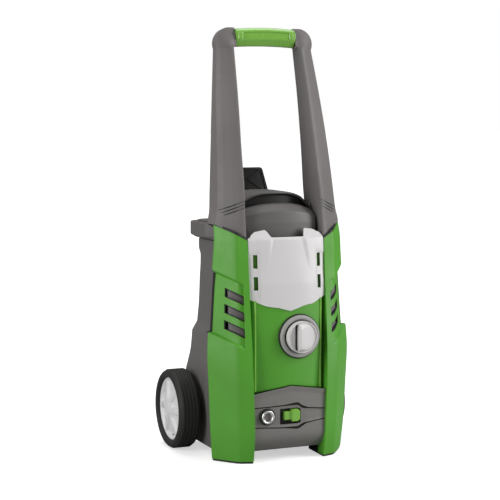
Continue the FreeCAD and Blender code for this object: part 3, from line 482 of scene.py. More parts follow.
def make_edge_teeth(name, side):
    """A dark strip with ribs along the outer edge of the window band."""
    points, faces = [], []

    def bar(low, high, near, far):
        loops = []
        for level in (low, high):
            edge = pillar_point(level, 1.0, recess_depth(level, 1.0))
            loops.append([edge + Vector((out, back, 0))
                          for out, back in ((near, 1.0), (far, 2.0), (far, 9.0), (near, 9.0))])
        join(points, faces, *capped_tube(loops))

    teeth, pitch, tooth = 13, 8.2, 4.8
    bar(210, 323, -2.5, 0.8)
    for start in [214 + pitch * i for i in range(teeth)]:
        bar(start, start + tooth, 0.5, 1.7)
    bar(205.5, 212, 0.5, 3.4)
    add_piece(f"edge_ribs_{name}", points, faces, "black_plastic", mirror=side < 0, bevel=0.4)


def make_foot_pad(name, side):
    """Rubber sole under a pillar, with a side wall that runs back beneath the machine."""
    loops = []
    for z in (0, 0.8, 7):
        inset = 1.8 if z == 0 else 1.1
        face = [pillar_point(2, share, inset) for share in steps(0.015, 0.985, 14)]
        back = [face[-1] + Vector((-2, 10, 0)), Vector((118, -34, 0)), face[0] + Vector((2.5, 72, 0))]
        loops.append([(p.x, p.y, z) for p in face + back])
    add_piece(f"foot_sole_{name}", *capped_tube(loops), "foot_rubber", mirror=side < 0,
              stands_for=["rubber_feet"], bevel=0.5, inside=(95, -70, 3))
    rows = [[(72.6 + 0.02 * d, -103 + d, z) for d in steps(0, 66, 10)] for z in (6, 16, 26)]
    surface(f"foot_side_{name}", rows, "foot_rubber", mirror=side < 0, wall=2, inside=(90, -70, 10))


def make_window_frames(name, side):
    """Dark moulded frames inside the three windows, and a ribbed panel behind them."""
    points, faces = [], []
    for low, high in WINDOW_LEVELS:
        loops = []
        for grow, sink in ((0.1, 0.7), (-2.0, 1.1), (-2.0, 4.0), (0.0, 4.0)):
            part = grow / PILLAR_WIDTH
            left, right = WINDOW_INNER - part, WINDOW_OUTER + part
            bottom, top = low - grow, high + grow
            corners = [(bottom, left), (bottom, right), (top, right), (top, left)]
            loop = []
            for i, (level, share) in enumerate(corners):
                next_level, next_share = corners[(i + 1) % 4]
                for s in steps(0, 1, 4)[:-1]:
                    at_level, at_share = mix(level, next_level, s), mix(share, next_share, s)
                    depth = recess_depth(mix(low, high, 0.5), at_share) + sink
                    loop.append(pillar_point(at_level, at_share, depth))
            loops.append(loop)
        join(points, faces, [p for loop in loops for p in loop],
             grid_faces(len(loops), len(loops[0]), closed=True))
    add_piece(f"window_frames_{name}", points, faces, "black_plastic", mirror=side < 0, wall=0.6,
              stands_for=["window_louvres"])
    rows = []
    low, high = WINDOW_LEVELS[0][0] - 4, WINDOW_LEVELS[-1][1] + 4
    pitch, rise = 5.6, 0.75
    for level in steps(low, high, int((high - low) / pitch * 4)):
        phase = (level - low) / pitch % 1
        rib = 3.0 * (phase / rise if phase < rise else (1 - phase) / (1 - rise))
        row = []
        for x in steps(*LOUVRE_SPAN, 6):
            face = pillar_point(level, (x - INNER_EDGE) / 62, 12.5)
            row.append((x, face.y + 4 - rib, level_height(level, x)))
        rows.append(row)
    surface(f"window_ribs_{name}", rows, "grey_plastic", mirror=side < 0, wall=1.2,
            inside=(90, 20, 200))


make_pillars()


# ---------------------------------------------------------------- uprights and grip
# Keys of the section's corners: level above the floor, then X of the inner and outer sides, or Y
# of the front corner, of the outer front edge and of the rear.
UP_INNER = [(400, 77.2), (410, 77.2), (452, 76.7), (499, 75.2), (573, 73.3), (665, 70.7), (764, 67.2)]
UP_FRONT = [(400, -91.5), (410, -90.5), (452, -84.3), (499, -77.7), (573, -59), (665, -36.5), (764, -6)]
UP_OUTER = [(400, 126.5), (410, 125.5), (452, 121.3), (499, 117.7), (573, 113.3), (665, 106.4), (764, 96.5)]
UP_EDGE = [(400, -54), (410, -53.5), (452, -52), (499, -46.7), (573, -33.3), (665, -12.5), (764, 10.5)]
UP_REAR = [(400, -6), (410, -6), (452, -4), (499, 2), (573, 8), (665, 19), (764, 36)]
UPRIGHT_FOOT = 410.8
ELBOW_START = 760.0
HANDLE_TOP = 800
GRIP_END = 60.0


def upright_section(level):
    """Closed ring of an upright's section, starting at the inner rear corner."""
    inner, front = along(UP_INNER, level), along(UP_FRONT, level)
    outer, edge, rear = along(UP_OUTER, level), along(UP_EDGE, level), along(UP_REAR, level)
    swell = 3.5
    middle = ((inner + outer) / 2 - swell * 0.2, (front + edge) / 2 - swell)
    third = (mix(inner, outer, 0.22), mix(front, edge, 0.22) - swell * 0.85)
    late = (mix(inner, outer, 0.8), mix(front, edge, 0.8) - swell * 0.55)
    corners = [(inner, rear - 2), (inner, front), third, middle, late, (outer, edge),
               (outer - 0.8, mix(edge, rear, 0.5)), (outer - 1.5, rear)]
    ring = rounded([(x, y, 0) for x, y in corners], [5, 3.5, 40, 60, 40, 1.8, 60, 7],
                   bend=4, straight=4, closed=True)
    return [(p.x, p.y) for p in ring]


def elbow_rows(section, turns=12):
    """The section swung a quarter turn inwards about a line just inside it, squarer outside."""
    gap = 4
    pivot = min(x for x, y in section) - gap
    rows = []
    for share in steps(0, 1, turns):
        angle = math.pi / 2 * share
        square = 1 + 0.13 * math.sin(2 * angle)
        row = []
        for x, y in section:
            reach = x - pivot
            radius = gap + (reach - gap) * mix(1.0, 36 / 29.5, share)
            radius *= square if reach > 12 else 1
            end_depth = -2.0 + 34 * min(max((y + 9) / 45, 0), 1)
            depth = mix(y, end_depth, ease(share, 0.0, 1.0))
            row.append(Vector((pivot + radius * math.cos(angle), depth,
                               ELBOW_START + radius * math.sin(angle))))
        rows.append(row)
    return rows


def make_uprights():
    """A tapering post from the seam to its elbow, which bends inwards to meet the grip."""
    rows = []
    for rise in merged(steps(0, 30, 6), steps(30, 345, 34), nearest=1):
        level = UPRIGHT_FOOT + rise
        ring = upright_section(level)
        tilt = CREASE_SLOPE * (1 - ease(rise, 0, 60))
        rows.append([Vector((x, y, level + tilt * (x - INNER_EDGE))) for x, y in ring])
    rows += elbow_rows(upright_section(ELBOW_START))
    rows.append([Vector((GRIP_END + 0.6, p.y, p.z)) for p in rows[-1]])
    for row in rows:
        for p in row:
            p.z = min(p.z, HANDLE_TOP)
    for name, side in SIDES.items():
        surface(f"upright_shell_{name}", rows, "grey_plastic", closed=True,
                stands_for=[f"upright_{name}"], mirror=side < 0, wall=2.6, bevel=0.8, angle=30,
                inside=(90, 0, 600))


def make_upright_grooves():
    """Three fine lines round each upright's front face, close above the seam."""
    for name, side in SIDES.items():
        points, faces = [], []
        for drop in (0, 6, 12):
            line = []
            for s in steps(0.0, 1.0, 24):
                level = mix(482, 463.5, s) - drop
                inner, front = along(UP_INNER, level), along(UP_FRONT, level)
                outer, edge = along(UP_OUTER, level), along(UP_EDGE, level)
                lift = 4.1 * max(math.sin(math.pi * s), 0) ** 0.8
                width = 0.95 * max(math.sin(math.pi * (0.06 + 0.9 * s)), 0) ** 0.4
                centre = Vector((mix(inner, outer, s), mix(front, edge, s) - lift + 0.15, level))
                line += [centre + Vector((0, 0.9, width)), centre + Vector((0, -0.1, width * 0.6)),
                         centre + Vector((0, -0.1, -width * 0.6)), centre + Vector((0, 0.9, -width))]
            join(points, faces, line, grid_faces(len(line) // 4, 4))
        add_piece(f"upright_lines_{name}", points, faces, "black_plastic", mirror=side < 0)


def grip_section():
    """Section of the grip about its own axis: front face, low facet turned under, full back."""
    corners = [(-7.5, 17), (-14.5, 12.5), (-17, 8.5), (-17, -1.5), (-14.5, -6), (-7, -16.5), (8, -17),
               (17, -9), (17, 8), (8, 17)]
    ring = rounded([(0, y, z) for y, z in corners], [6, 3, 1.5, 1.5, 2.5, 3, 8, 8, 8, 8],
                   bend=3, straight=4, closed=True)
    return [(p.y, p.z) for p in ring]


def make_grip():
    """Arched bar with a hollow panel in its front and a raised rim at each end."""
    half, middle = 59.6, 780.7
    section = grip_section()
    rows = []
    for x in merged(steps(-half, -half + 5, 6), steps(-half + 5, -50, 3), steps(-50, -46, 4),
                    steps(-46, 46, 24), steps(46, 50, 4), steps(50, half - 5, 3),
                    steps(half - 5, half, 6)):
        arch = 2.6 * (1 - (x / half) ** 2)
        size = 1 - 0.04 * ease(abs(x), half - 1.2, half) - 0.035 * window(abs(x), half - 5, half - 3, 0.8)
        row = []
        for y, z in section:
            hollow = 2.8 * window(z, -3.5, 9.5, 1.6) * (1 - ease(abs(x), 46.5, 48.5)) if y < -10 else 0
            row.append((x, 15 + y * size + hollow, middle + z * size + arch * (1 if z > 0 else 0.8)))
        rows.append(row)
    add_piece("grip_cover", *capped_tube(rows), "grip_green", stands_for=["handle_grip"], bevel=0.5,
              angle=40, inside=(0, 15, middle))


make_uprights()
make_upright_grooves()
make_grip()


# ---------------------------------------------------------------- front panels and badge plate
PANEL_FRONT = -111
BEAD_EDGE = 68.2


def bow(x, crown=13.0):
    """Y of the bowed front panel at a distance from its middle."""
    return PANEL_FRONT + crown * (x / 72.0) ** 2


BADGE_OUTLINE_LOW = [(-76, 302.5), (-62, 296.5), (-48, 290.5), (-36, 288), (-24, 286.5), (-12, 283),
                     (0, 280), (12, 283.5), (24, 287.5), (36, 290), (46, 291), (62, 297.5), (76, 304)]
BADGE_OUTLINE_HIGH = [(-76, 413), (-71, 415.5), (-65, 423), (-62, 424.5), (-42, 428), (-39, 427.5),
                      (-33, 416), (-31.5, 415), (0, 415), (31.5, 415), (33, 416.5), (38, 428),
                      (40, 429.5), (56, 427.5), (70, 421), (73.5, 417.5), (76, 412)]


def make_front_panel():
    """Green panel between the pillars, from the lower panel up to behind the badge plate."""
    columns = merged([-72.4, -72, -71, -69.5], steps(-69, 69, 46), [69.5, 71, 72, 72.4], nearest=0.2)
    rows = []
    for share in merged([0, 0.006, 0.012], steps(0.03, 1, 24), nearest=0.002):
        row = []
        for x in columns:
            foot = 141.5 - 12 * min(abs(x - 2) / 70, 1) ** 1.05
            head = straight(BADGE_OUTLINE_LOW, x) + 5
            z = mix(foot, head, share)
            edge = ease(abs(x), 69.2, 72.6)
            lip = ease(share, 0, 0.01)
            y = bow(x) + 5 * edge ** 2 + 1.4 * (1 - lip)
            row.append((x, y, z))
        rows.append(row)
    surface("front_skin", rows, "green_plastic", stands_for=["front_panel"], wall=2.6, bevel=0.5,
            inside=(0, 20, 220))


def make_beads():
    """A moulded bead down each side of the panel, in the gap beside the pillar, whose lighter grip green is a
    painted highlight along its edge.
    """
    for name, side in SIDES.items():
        rows = []
        front = bow(BEAD_EDGE) - 3.2
        outline = [(-5.4, 5), (-4.6, 1.4), (-3.4, 0), (-1.4, -0.2), (-0.2, 1.2), (0.4, 6)]
        for z in steps(132, 300, 30):
            rows.append([(BEAD_EDGE + across, front + back, z) for across, back in outline])
        surface(f"panel_bead_highlight_{name}", rows, "grip_green", mirror=side < 0, bevel=0.3,
                inside=(69, 0, 200))


def badge_front(x, z):
    """Front of the badge plate: bowed, leaning back with the pillars, with raised cheeks."""
    y = bow(x, 12.5) - 2.6 + 0.035 * (z - 280) + 0.085 * max(z - 331, 0)
    y += 0.75 * max(z - 411, 0) * ease(z, 408, 416)
    spread = mix(47, 33.5, ease(z, 330, 428))
    cheek = ease(abs(x), spread - 6, spread + 1.5) * ease(z, 345, 412)
    y -= 2.6 * cheek
    slope_line = 385 + 0.35 * (74 - abs(x))
    below = 1 - ease(z, slope_line - 4, slope_line + 1)
    y += 1.6 * below * ease(abs(x), 55, 60)
    return y


BADGE_SLOTS = [(319, 343.5), (359, 383.5)]
SLOT_INNER, SLOT_OUTER = 60.0, 67.5


def make_badge():
    """Light plate over the panel's head, with two slots down each side and a green wall behind."""
    columns = merged(steps(-76, -68, 5), [-SLOT_OUTER, -SLOT_INNER, SLOT_INNER, SLOT_OUTER],
                     steps(-60, 60, 60), steps(68, 76, 5), [-41.5, -33.5, 33.5, 41.5], nearest=0.45)
    snap(columns, (-SLOT_OUTER, -SLOT_INNER, SLOT_INNER, SLOT_OUTER))
    shares = steps(0, 1, 60)
    slot_edges = [edge for pair in BADGE_SLOTS for edge in pair]
    marks = [0.2, 0.42, 0.56, 0.78]
    rows = []
    for share in shares:
        row = []
        for x in columns:
            heights = [straight(BADGE_OUTLINE_LOW, x), *slot_edges, straight(BADGE_OUTLINE_HIGH, x)]
            z = straight(list(zip([0, *marks, 1], heights)), share)
            row.append((x, badge_front(x, z), z))
        rows.append(row)
    places = [min(range(len(shares)), key=lambda i: abs(shares[i] - mark)) for mark in marks]
    for place, z in zip(places, slot_edges):
        rows[place] = [(x, badge_front(x, z), z) for x in columns]

    def slot(row, column):
        across = abs(columns[column] + columns[column + 1]) / 2
        if not SLOT_INNER < across < SLOT_OUTER:
            return False
        return places[0] <= row < places[1] or places[2] <= row < places[3]

    surface("badge_skin", rows, "silver_plastic", skip=slot, stands_for=["badge_plate"], wall=2.4,
            bevel=0.7, angle=26, inside=(0, 20, 350))
    for name, side in SIDES.items():
        back = [[(x, bow(x, 12.5) + 0.05 * (z - 280) + 7, z) for x in steps(56, 75.5, 4)]
                for z in steps(300, 408, 12)]
        surface(f"badge_backing_{name}", back, "green_plastic", mirror=side < 0, wall=1.5,
                inside=(0, 60, 350))


LATCH_X = (-20.5, 21.5)
LATCH_Z = (68, 100)
PORT = (-46.0, 86.0)


def lower_front(x, z):
    """Front of the lower panel: slightly bowed and tucked back at its foot."""
    y = -112.6 + 2.6 * (x / 74) ** 2
    y += 26 * (1 - ease(z, 8, 62)) ** 2
    return y


def make_lower_panel():
    """Grey panel with two grooves that spread past the latch, their floors painted black as shade, and the
    latch's well.
    """
    columns = merged([-74, -73.6, -73], steps(-72, -22, 20), [-22, -20.5, -14], steps(-14, 14, 8),
                     [14, 18, 21.5, 23, 30], steps(30, 72, 16), [73, 73.6, 74], nearest=0.3)

    def upper_line(x):
        if x < 14:
            return mix(102.5, 104, ease(x, -70, 0))
        return mix(104, 96.5, ease(x, 14, 27)) - 4 * ease(x, 27, 76)

    def lower_line(x):
        if x < 14:
            return mix(67.5, 64.5, ease(x, -70, -10))
        return mix(64.5, 71, ease(x, 14, 30)) + 4 * ease(x, 30, 76)

    def top(x):
        return 140.2 - 11.5 * min(abs(x - 2) / 74, 1)

    rows = []
    plan = ([("foot", s) for s in steps(0, 1, 10)] + [("low_groove", s) for s in (0.35, 0.65, 1)]
            + [("middle", s) for s in steps(0, 1, 8)[1:]] + [("high_groove", s) for s in (0.35, 0.65, 1)]
            + [("face", s) for s in steps(0, 1, 5)[1:]] + [("band", s) for s in (0.1, 0.5, 0.9, 1)])
    for kind, s in plan:
        row = []
        for x in columns:
            low, high, head = lower_line(x), upper_line(x), top(x)
            groove = 2.0 + 3.4 * ease(x, -18, 20) * (1 - ease(x, 24, 38))
            spans = {"foot": (20, low - groove), "low_groove": (low - groove, low),
                     "middle": (low, high), "high_groove": (high, high + groove),
                     "face": (high + groove, head - 9), "band": (head - 9, head)}
            z = mix(*spans[kind], s)
            y = lower_front(x, z)
            if kind in ("low_groove", "high_groove") and s < 1:
                y += 2.6
            if kind == "middle" and s < 0.999:
                y += 0.9
            if kind == "band":
                y -= 1.9 * s
            edge = ease(abs(x), 72.6, 74)
            row.append((x, y + 2.0 * edge, z))
        rows.append(row)

    def hollow(row, column):
        if plan[row][0] not in ("middle", "low_groove") or plan[row + 1][0] != "middle":
            return False
        x = (columns[column] + columns[column + 1]) / 2
        z = (rows[row][column][2] + rows[row + 1][column][2]) / 2
        return LATCH_X[0] < x < LATCH_X[1] and LATCH_Z[0] < z < LATCH_Z[1]

    # Faces on the groove floors take black as painted shade.
    def groove_painted_shade(row, column):
        return plan[row + 1][0] in ("low_groove", "high_groove")

    # The lower panel takes the lighter grey as painted light.
    surface("lower_skin", rows, "grey_plastic_painted_light", skip=hollow, stands_for=["lower_front_panel"],
            wall=2.6, bevel=0.45, angle=26, inside=(0, 20, 80), tint=("black_plastic", groove_painted_shade))
    well = [[(x, y, z) for x, z in ((-24, 62), (25, 62), (25, 106), (-24, 106))] for y in (-104.0, -97.0)]
    add_piece("latch_well", *capped_tube(well), "black_plastic", bevel=1)


def make_outlet():
    """Bright mouth of the outlet in a black collar, dark inside."""
    x, z = PORT
    turned("outlet_bezel", [(-100, 15.6), (-112.5, 15.6), (-114.2, 15.0), (-114.8, 14.0), (-113.8, 13.2),
                            (-106, 13.0)], "black_plastic", (x, 0, z), stands_for=["outlet_collar"])
    turned("outlet_ring", [(-84, 12.8), (-115.5, 12.8), (-117.6, 12.1), (-118, 11.2), (-117.8, 9.6),
                           (-116.6, 8.4), (-113.0, 7.6), (-110, 7.0)], "bright_metal", (x, 0, z),
           stands_for=["outlet_connector"])
    turned("outlet_seat", [(-109.5, 7.3), (-98, 7.1), (-84, 7.0), (-82, 6.4), (-81.4, 3.2), (-81.2, 0.4)],
           "black_plastic", (x, 0, z), count=40)


def make_latch():
    """Stepped sliding button: a low finger step on one side and a raised pad on the other."""
    rows = []
    for x in (-12, -11.2, 1.0, 2.0, 3.2, 4.2, 14.5, 17.6, 18.4):
        high_part = x > 2.5
        front = -117.2 if high_part else -113.2
        low, high = (74, 97) if high_part else (77, 93)
        if x > 17:
            low, high = low + 3, high - 3
        if x <= -12 or x >= 18.4:
            front += 2
        ring = []
        for z in (low, low + 1.3, mix(low, high, 0.3), mix(low, high, 0.7), high - 1.3, high):
            ring.append((x, front + (1.6 if z in (low, high) else 0), z))
        ring.append((x, -104, high))
        ring.append((x, -104, low))
        rows.append(ring)
    add_piece("latch_pad", *capped_tube(rows), "grip_green", body="latch", stands_for=["latch_button"],
              bevel=0.6, inside=(4, -108, 85))


make_front_panel()
make_beads()
make_badge()
make_lower_panel()
make_outlet()
make_latch()


# ---------------------------------------------------------------- knob
KNOB = (18.0, 232.0)
KNOB_WALL = -9.0
KNOB_FACE = 26.9
KNOB_FLAT = -126.6


def knob_relief(x, across):
    """Front of the knob's face: a hollow on the left, a steep wall, then a slope to the right.

    across runs from -1 to 1 down the face.
    """
    if x < KNOB_WALL - 0.3:
        y = KNOB_FLAT + 3.6 * ease(x, -24, KNOB_WALL - 3)
    else:
        y = mix(-139.0, -127.4, ease(x, KNOB_WALL, 25) ** 0.85)
        y = mix(-123.0, y, ease(x, KNOB_WALL - 0.3, KNOB_WALL))
    return mix(y, KNOB_FLAT, abs(across) ** 9)


def make_knob():
    """The ring and dark seat on the panel, and the turning knob with its rim and sculpted face."""
    x0, z0 = KNOB
    turned("bezel_ring", [(-96, 39.0), (-113, 39.4), (-116.4, 39.0), (-118.0, 38.0), (-118.6, 36.4),
                          (-118.4, 33.6), (-117.4, 32.2), (-115.6, 31.6), (-114.6, 31.2), (-114.4, 30)],
           "bezel_plastic", (x0, 0, z0), stands_for=["knob_bezel"], count=96)
    turned("bezel_seam", [(-105, 41.6), (-112.4, 41.6), (-113.4, 41.0), (-113.4, 39.0)],
           "black_plastic", (x0, 0, z0), count=96)
    turned("bezel_floor", [(-114.0, 31.6), (-114.4, 30.4), (-114.0, 3)], "black_plastic", (x0, 0, z0),
           count=96)
    turned("knob_rim", [(-118.6, 29.4), (-127.4, 29.6), (-128.8, 29.2), (-129.4, 28.3), (-129.0, 27.3),
                        (-127.6, 26.7), (-122, 26.5)], "silver_plastic", (x0, 0, z0), body="knob",
           count=96, inside=(x0, -100, z0))
    columns = merged([-KNOB_FACE + 0.01, -26.6, -26], steps(-25, KNOB_WALL - 5.0, 9),
                     [KNOB_WALL - 4.4, KNOB_WALL - 0.3, KNOB_WALL, KNOB_WALL + 0.6],
                     steps(KNOB_WALL + 1.6, 25, 18), [26, 26.6, KNOB_FACE - 0.01], nearest=0.05)
    rows = []
    for across in steps(-1, 1, 48):
        rows.append([(x0 + x, knob_relief(x, across), z0 + across * math.sqrt(KNOB_FACE**2 - x * x))
                     for x in columns])
    # The strip of faces at the foot of the knob's wall takes black as the wall's painted shadow.
    wall_foot_shade = next(i for i, x in enumerate(columns) if x > KNOB_WALL - 4.5)
    surface("knob_face", rows, "silver_plastic", body="knob", stands_for=["knob"], bevel=0.3,
            angle=40, inside=(x0, -100, z0), tint=("black_plastic", lambda row, column: column == wall_foot_shade))


make_knob()


# ---------------------------------------------------------------- rear shell, dome, rail and hook
# Keys of the rear cover: height, then half its width, or Y of its back.
SHELL_HALF = [(12, 117), (60, 119.5), (141, 123), (175, 121.5), (222, 119.5), (226, 119.2), (243, 109.5),
              (361, 109), (437, 106.5)]
SHELL_REAR = [(12, 110), (60, 114), (141, 117), (162, 107), (194, 93), (243, 88), (283, 79), (332, 74),
              (361, 70), (374, 71), (384, 80), (400, 82), (437, 82)]
GRILLE_X = (-42, 42)
GRILLE_Z = (262, 326)


def shell_ring(z):
    """The rear cover's outline at a height, round its two back corners."""
    half, rear = straight(SHELL_HALF, z), along(SHELL_REAR, z)
    front = -45 if z < 404 else 2
    path = [(-half, front, z), (-half, rear, z), (half, rear, z), (half, front, z)]
    return rounded(path, [0, 9, 9, 0], bend=8, straight=24)


def make_rear_shell():
    """Grey cover round the sides and back, open where the air grille sits."""
    levels = merged(steps(12, 222, 20), steps(222, 243, 6), steps(243, 262, 3), steps(262, 326, 8),
                    steps(326, 403.5, 8), nearest=1)
    snap(levels, GRILLE_Z)
    rows = []
    for z in levels:
        row = []
        for p in shell_ring(z):
            back = ease(p.y, 60, 70) * (1 - ease(abs(p.x), 60, 90))
            groove = 1.5 * window(p.y, 16, 22, 2) * ease(z, 60, 80)
            row.append(Vector((p.x - math.copysign(groove, p.x), p.y + 2.5 * back, p.z)))
        rows.append(row)

    def grille(row, column):
        p, q = rows[row][column], rows[row][column + 1]
        if levels[row] < GRILLE_Z[0] or levels[row + 1] > GRILLE_Z[1] or p.y < 40:
            return False
        return min(p.x, q.x) >= GRILLE_X[0] - 1 and max(p.x, q.x) <= GRILLE_X[1] + 1

    surface("rear_skin", rows, "shell_plastic", skip=grille, stands_for=["rear_cover"], wall=2.6,
            bevel=0.7, inside=(0, 0, 200))


def make_dome():
    """The rounded motor cover between the uprights, with a recess behind its shoulder whose faces are painted
    black as shade.
    """
    path = rounded([(0, -80, 398), (0, -79, 440), (0, -76, 461), (0, -63, 471), (0, -53, 474.5),
                    (0, -38, 474), (0, -37, 489), (0, -47, 492.5), (0, -46, 495.5), (0, 44, 496),
                    (0, 64, 483), (0, 70, 441)],
                   [0, 20, 7, 6, 2, 2, 2, 1, 2, 14, 12, 0], bend=5, straight=3)
    rows, sunk = [], []
    for p in path:
        row = []
        for share in steps(-1, 1, 40):
            x = 71 * share
            drop = 13 * abs(share) ** 2.6 * ease(p.z, 430, 470)
            y = p.y + 12 * share * share * (1 if p.y < 0 else -0.6)
            if p.y < -30:
                drop += 0.75 * share ** 4 * max(min(p.z, 492) - 475, 0)
            row.append((x, y, p.z - drop))
        rows.append(row)
        sunk.append(-52 < p.y < -30 and p.z < 491)

    # Faces of the recess behind the shoulder take black as painted shade.
    def recess_painted_shade(row, column):
        return sunk[row] and sunk[row + 1]

    surface("dome_skin", rows, "shell_plastic", stands_for=["motor_cover"], wall=2.6, bevel=0.8,
            angle=28, inside=(0, 0, 300), tint=("black_plastic", recess_painted_shade))
    # Black sheets beside the motor cover, in the gap to each upright: painted shadow.
    wall = []
    for share in steps(0, 1, 5):
        row = []
        for y in merged(steps(-63, -46, 6), steps(-38, 62, 8)):
            top = mix(444, 457, ease(y, -63, -52)) + 16 * ease(y, -47, -44)
            row.append((72.2 + 0.8 * share, y, mix(400, top, share)))
        wall.append(row)
    for name, side in SIDES.items():
        surface(f"dome_shadow_sheet_{name}", wall, "black_plastic", mirror=side < 0, wall=1.5,
                inside=(0, 0, 440))


def make_rail():
    """Band round the machine's top behind the uprights, and the deck inside it."""
    profile = [(0, 436), (11, 437), (14.2, 436.4), (15, 434.5), (15, 413), (14, 411), (5, 406), (0, 405)]
    plan = rounded([(-106.5, -30, 0), (-109.3, 6, 0), (-109.3, 80, 0), (109.3, 80, 0), (109.3, 6, 0),
                    (106.5, -30, 0)], [0, 30, 9, 9, 30, 0], bend=8, straight=16)
    rows = []
    for i, p in enumerate(plan):
        before, after = plan[max(i - 1, 0)], plan[min(i + 1, len(plan) - 1)]
        run = (after - before).normalized()
        out = Vector((-run.y, run.x, 0))
        swell = ease(p.y, -18, 8)
        rows.append([(p.x + out.x * reach * swell, p.y + out.y * reach * swell, z) for reach, z in profile])
    add_piece("rail_band", *capped_tube(rows), "shell_plastic", stands_for=["accessory_rail"], bevel=0.8,
              inside=(0, 60, 420))
    hole_half = 74.3
    columns = merged(steps(-109, -hole_half, 5), steps(-hole_half, hole_half, 10),
                     steps(hole_half, 109, 5))
    deep = merged(steps(2, 70.3, 8), steps(70.3, 80, 3))
    deck = [[(x, y, 440 - 1.5 * ease(abs(x), 100, 109)) for x in columns] for y in deep]

    def opening(row, column):
        across = abs(columns[column] + columns[column + 1]) / 2
        return across < hole_half and deep[row + 1] < 71

    surface("deck_skin", deck, "shell_plastic", skip=opening, wall=3, bevel=0.8, inside=(0, 40, 300))


def make_hook():
    """Folded hose hook: a plate with raised ribs, on an arm that rises from the deck."""
    outline = rounded([(-42, 0, 485), (-44, 0, 492), (-31, 0, 536), (31, 0, 536), (44, 0, 492), (42, 0, 485)],
                      [3, 4, 8, 8, 4, 3], bend=5, straight=3, closed=True)
    points, faces = [], []

    def plate(shape, front, back):
        join(points, faces, *capped_tube([[(p[0], y, p[2]) for p in shape] for y in (front, back)]))

    plate(outline, 91.5, 95)
    for start, end in (((-38, 489), (29, 532)), ((38, 489), (-29, 532)), ((-30, 532.5), (30, 532.5)),
                       ((-40, 488), (40, 488)), ((-41.5, 488), (-29, 533)), ((41.5, 488), (29, 533))):
        a, b = Vector((start[0], 0, start[1])), Vector((end[0], 0, end[1]))
        across = Vector((-(b - a).z, 0, (b - a).x)).normalized() * 1.6
        plate([a + across, b + across, b - across, a - across], 89.6, 92)
    add_piece("hook_plate", points, faces, "black_plastic", stands_for=["hose_hook"], bevel=0.5)
    ring = []
    for angle in steps(0, 2 * math.pi, 24)[:-1]:
        c, s = math.cos(angle), math.sin(angle)
        ring.append((math.copysign(abs(c) ** 0.3, c) * 30, math.copysign(abs(s) ** 0.6, s) * 3))
    arm = rounded([(0, 93, 490), (0, 82, 490), (0, 82, 441)], [0, 6, 0], bend=6, straight=6)
    loops = []
    for i, p in enumerate(arm):
        before, after = arm[max(i - 1, 0)], arm[min(i + 1, len(arm) - 1)]
        run = (after - before).normalized()
        out = Vector((0, -run.z, run.y))
        loops.append([(x, p.y + out.y * t, p.z + out.z * t) for x, t in ring])
    surface("hook_arm", loops, "black_plastic", closed=True, bevel=0.4, angle=50, inside=(0, 84, 480))


make_rear_shell()
make_dome()
make_rail()
make_hook()


# ---------------------------------------------------------------- wheels
def make_wheels():
    """A ribbed tyre on each side, with its disc."""
    low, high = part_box("tyre_right")
    centre = (low + high) / 2 / MM + Vector((0, ORIGIN_Y, 0))
    tyre_radius = (high.z - low.z) / 2 / MM
    near, far = low.x / MM, high.x / MM
    tread = []
    width = far - near
    inner = [(near + 3, 60), (near + 0.6, 62), (near, 65), (near + 0.6, 69), (near + 3, 73),
             (near + 7, 75.3)]
    grooves = (0.26, 0.42, 0.58, 0.74)
    for share in steps(0.18, 0.82, 64):
        cut = max(window(share, g - 0.022, g + 0.022, 0.012) for g in grooves)
        tread.append((near + width * share, tyre_radius - 0.1 - 1.5 * cut))
    outer = [(far - 7, 75.3), (far - 3.6, 73.4), (far - 2.6, 72.4), (far - 1.4, 71.2), (far - 0.6, 69),
             (far, 66.4), (far - 0.4, 63.6), (far - 1.6, 62.2), (far - 4, 61.6), (far - 8, 60)]
    for name, side in SIDES.items():
        turned(f"tyre_skin_{name}", inner + tread + outer, "tyre_rubber", (0, centre.y, centre.z),
               axis="X", count=120, body=f"wheel_{name}", stands_for=[f"tyre_{name}"],
               mirror=side < 0, inside=(centre.x, centre.y, centre.z))
        make_rim(name, side, centre, near, far)


SPOKES = 6


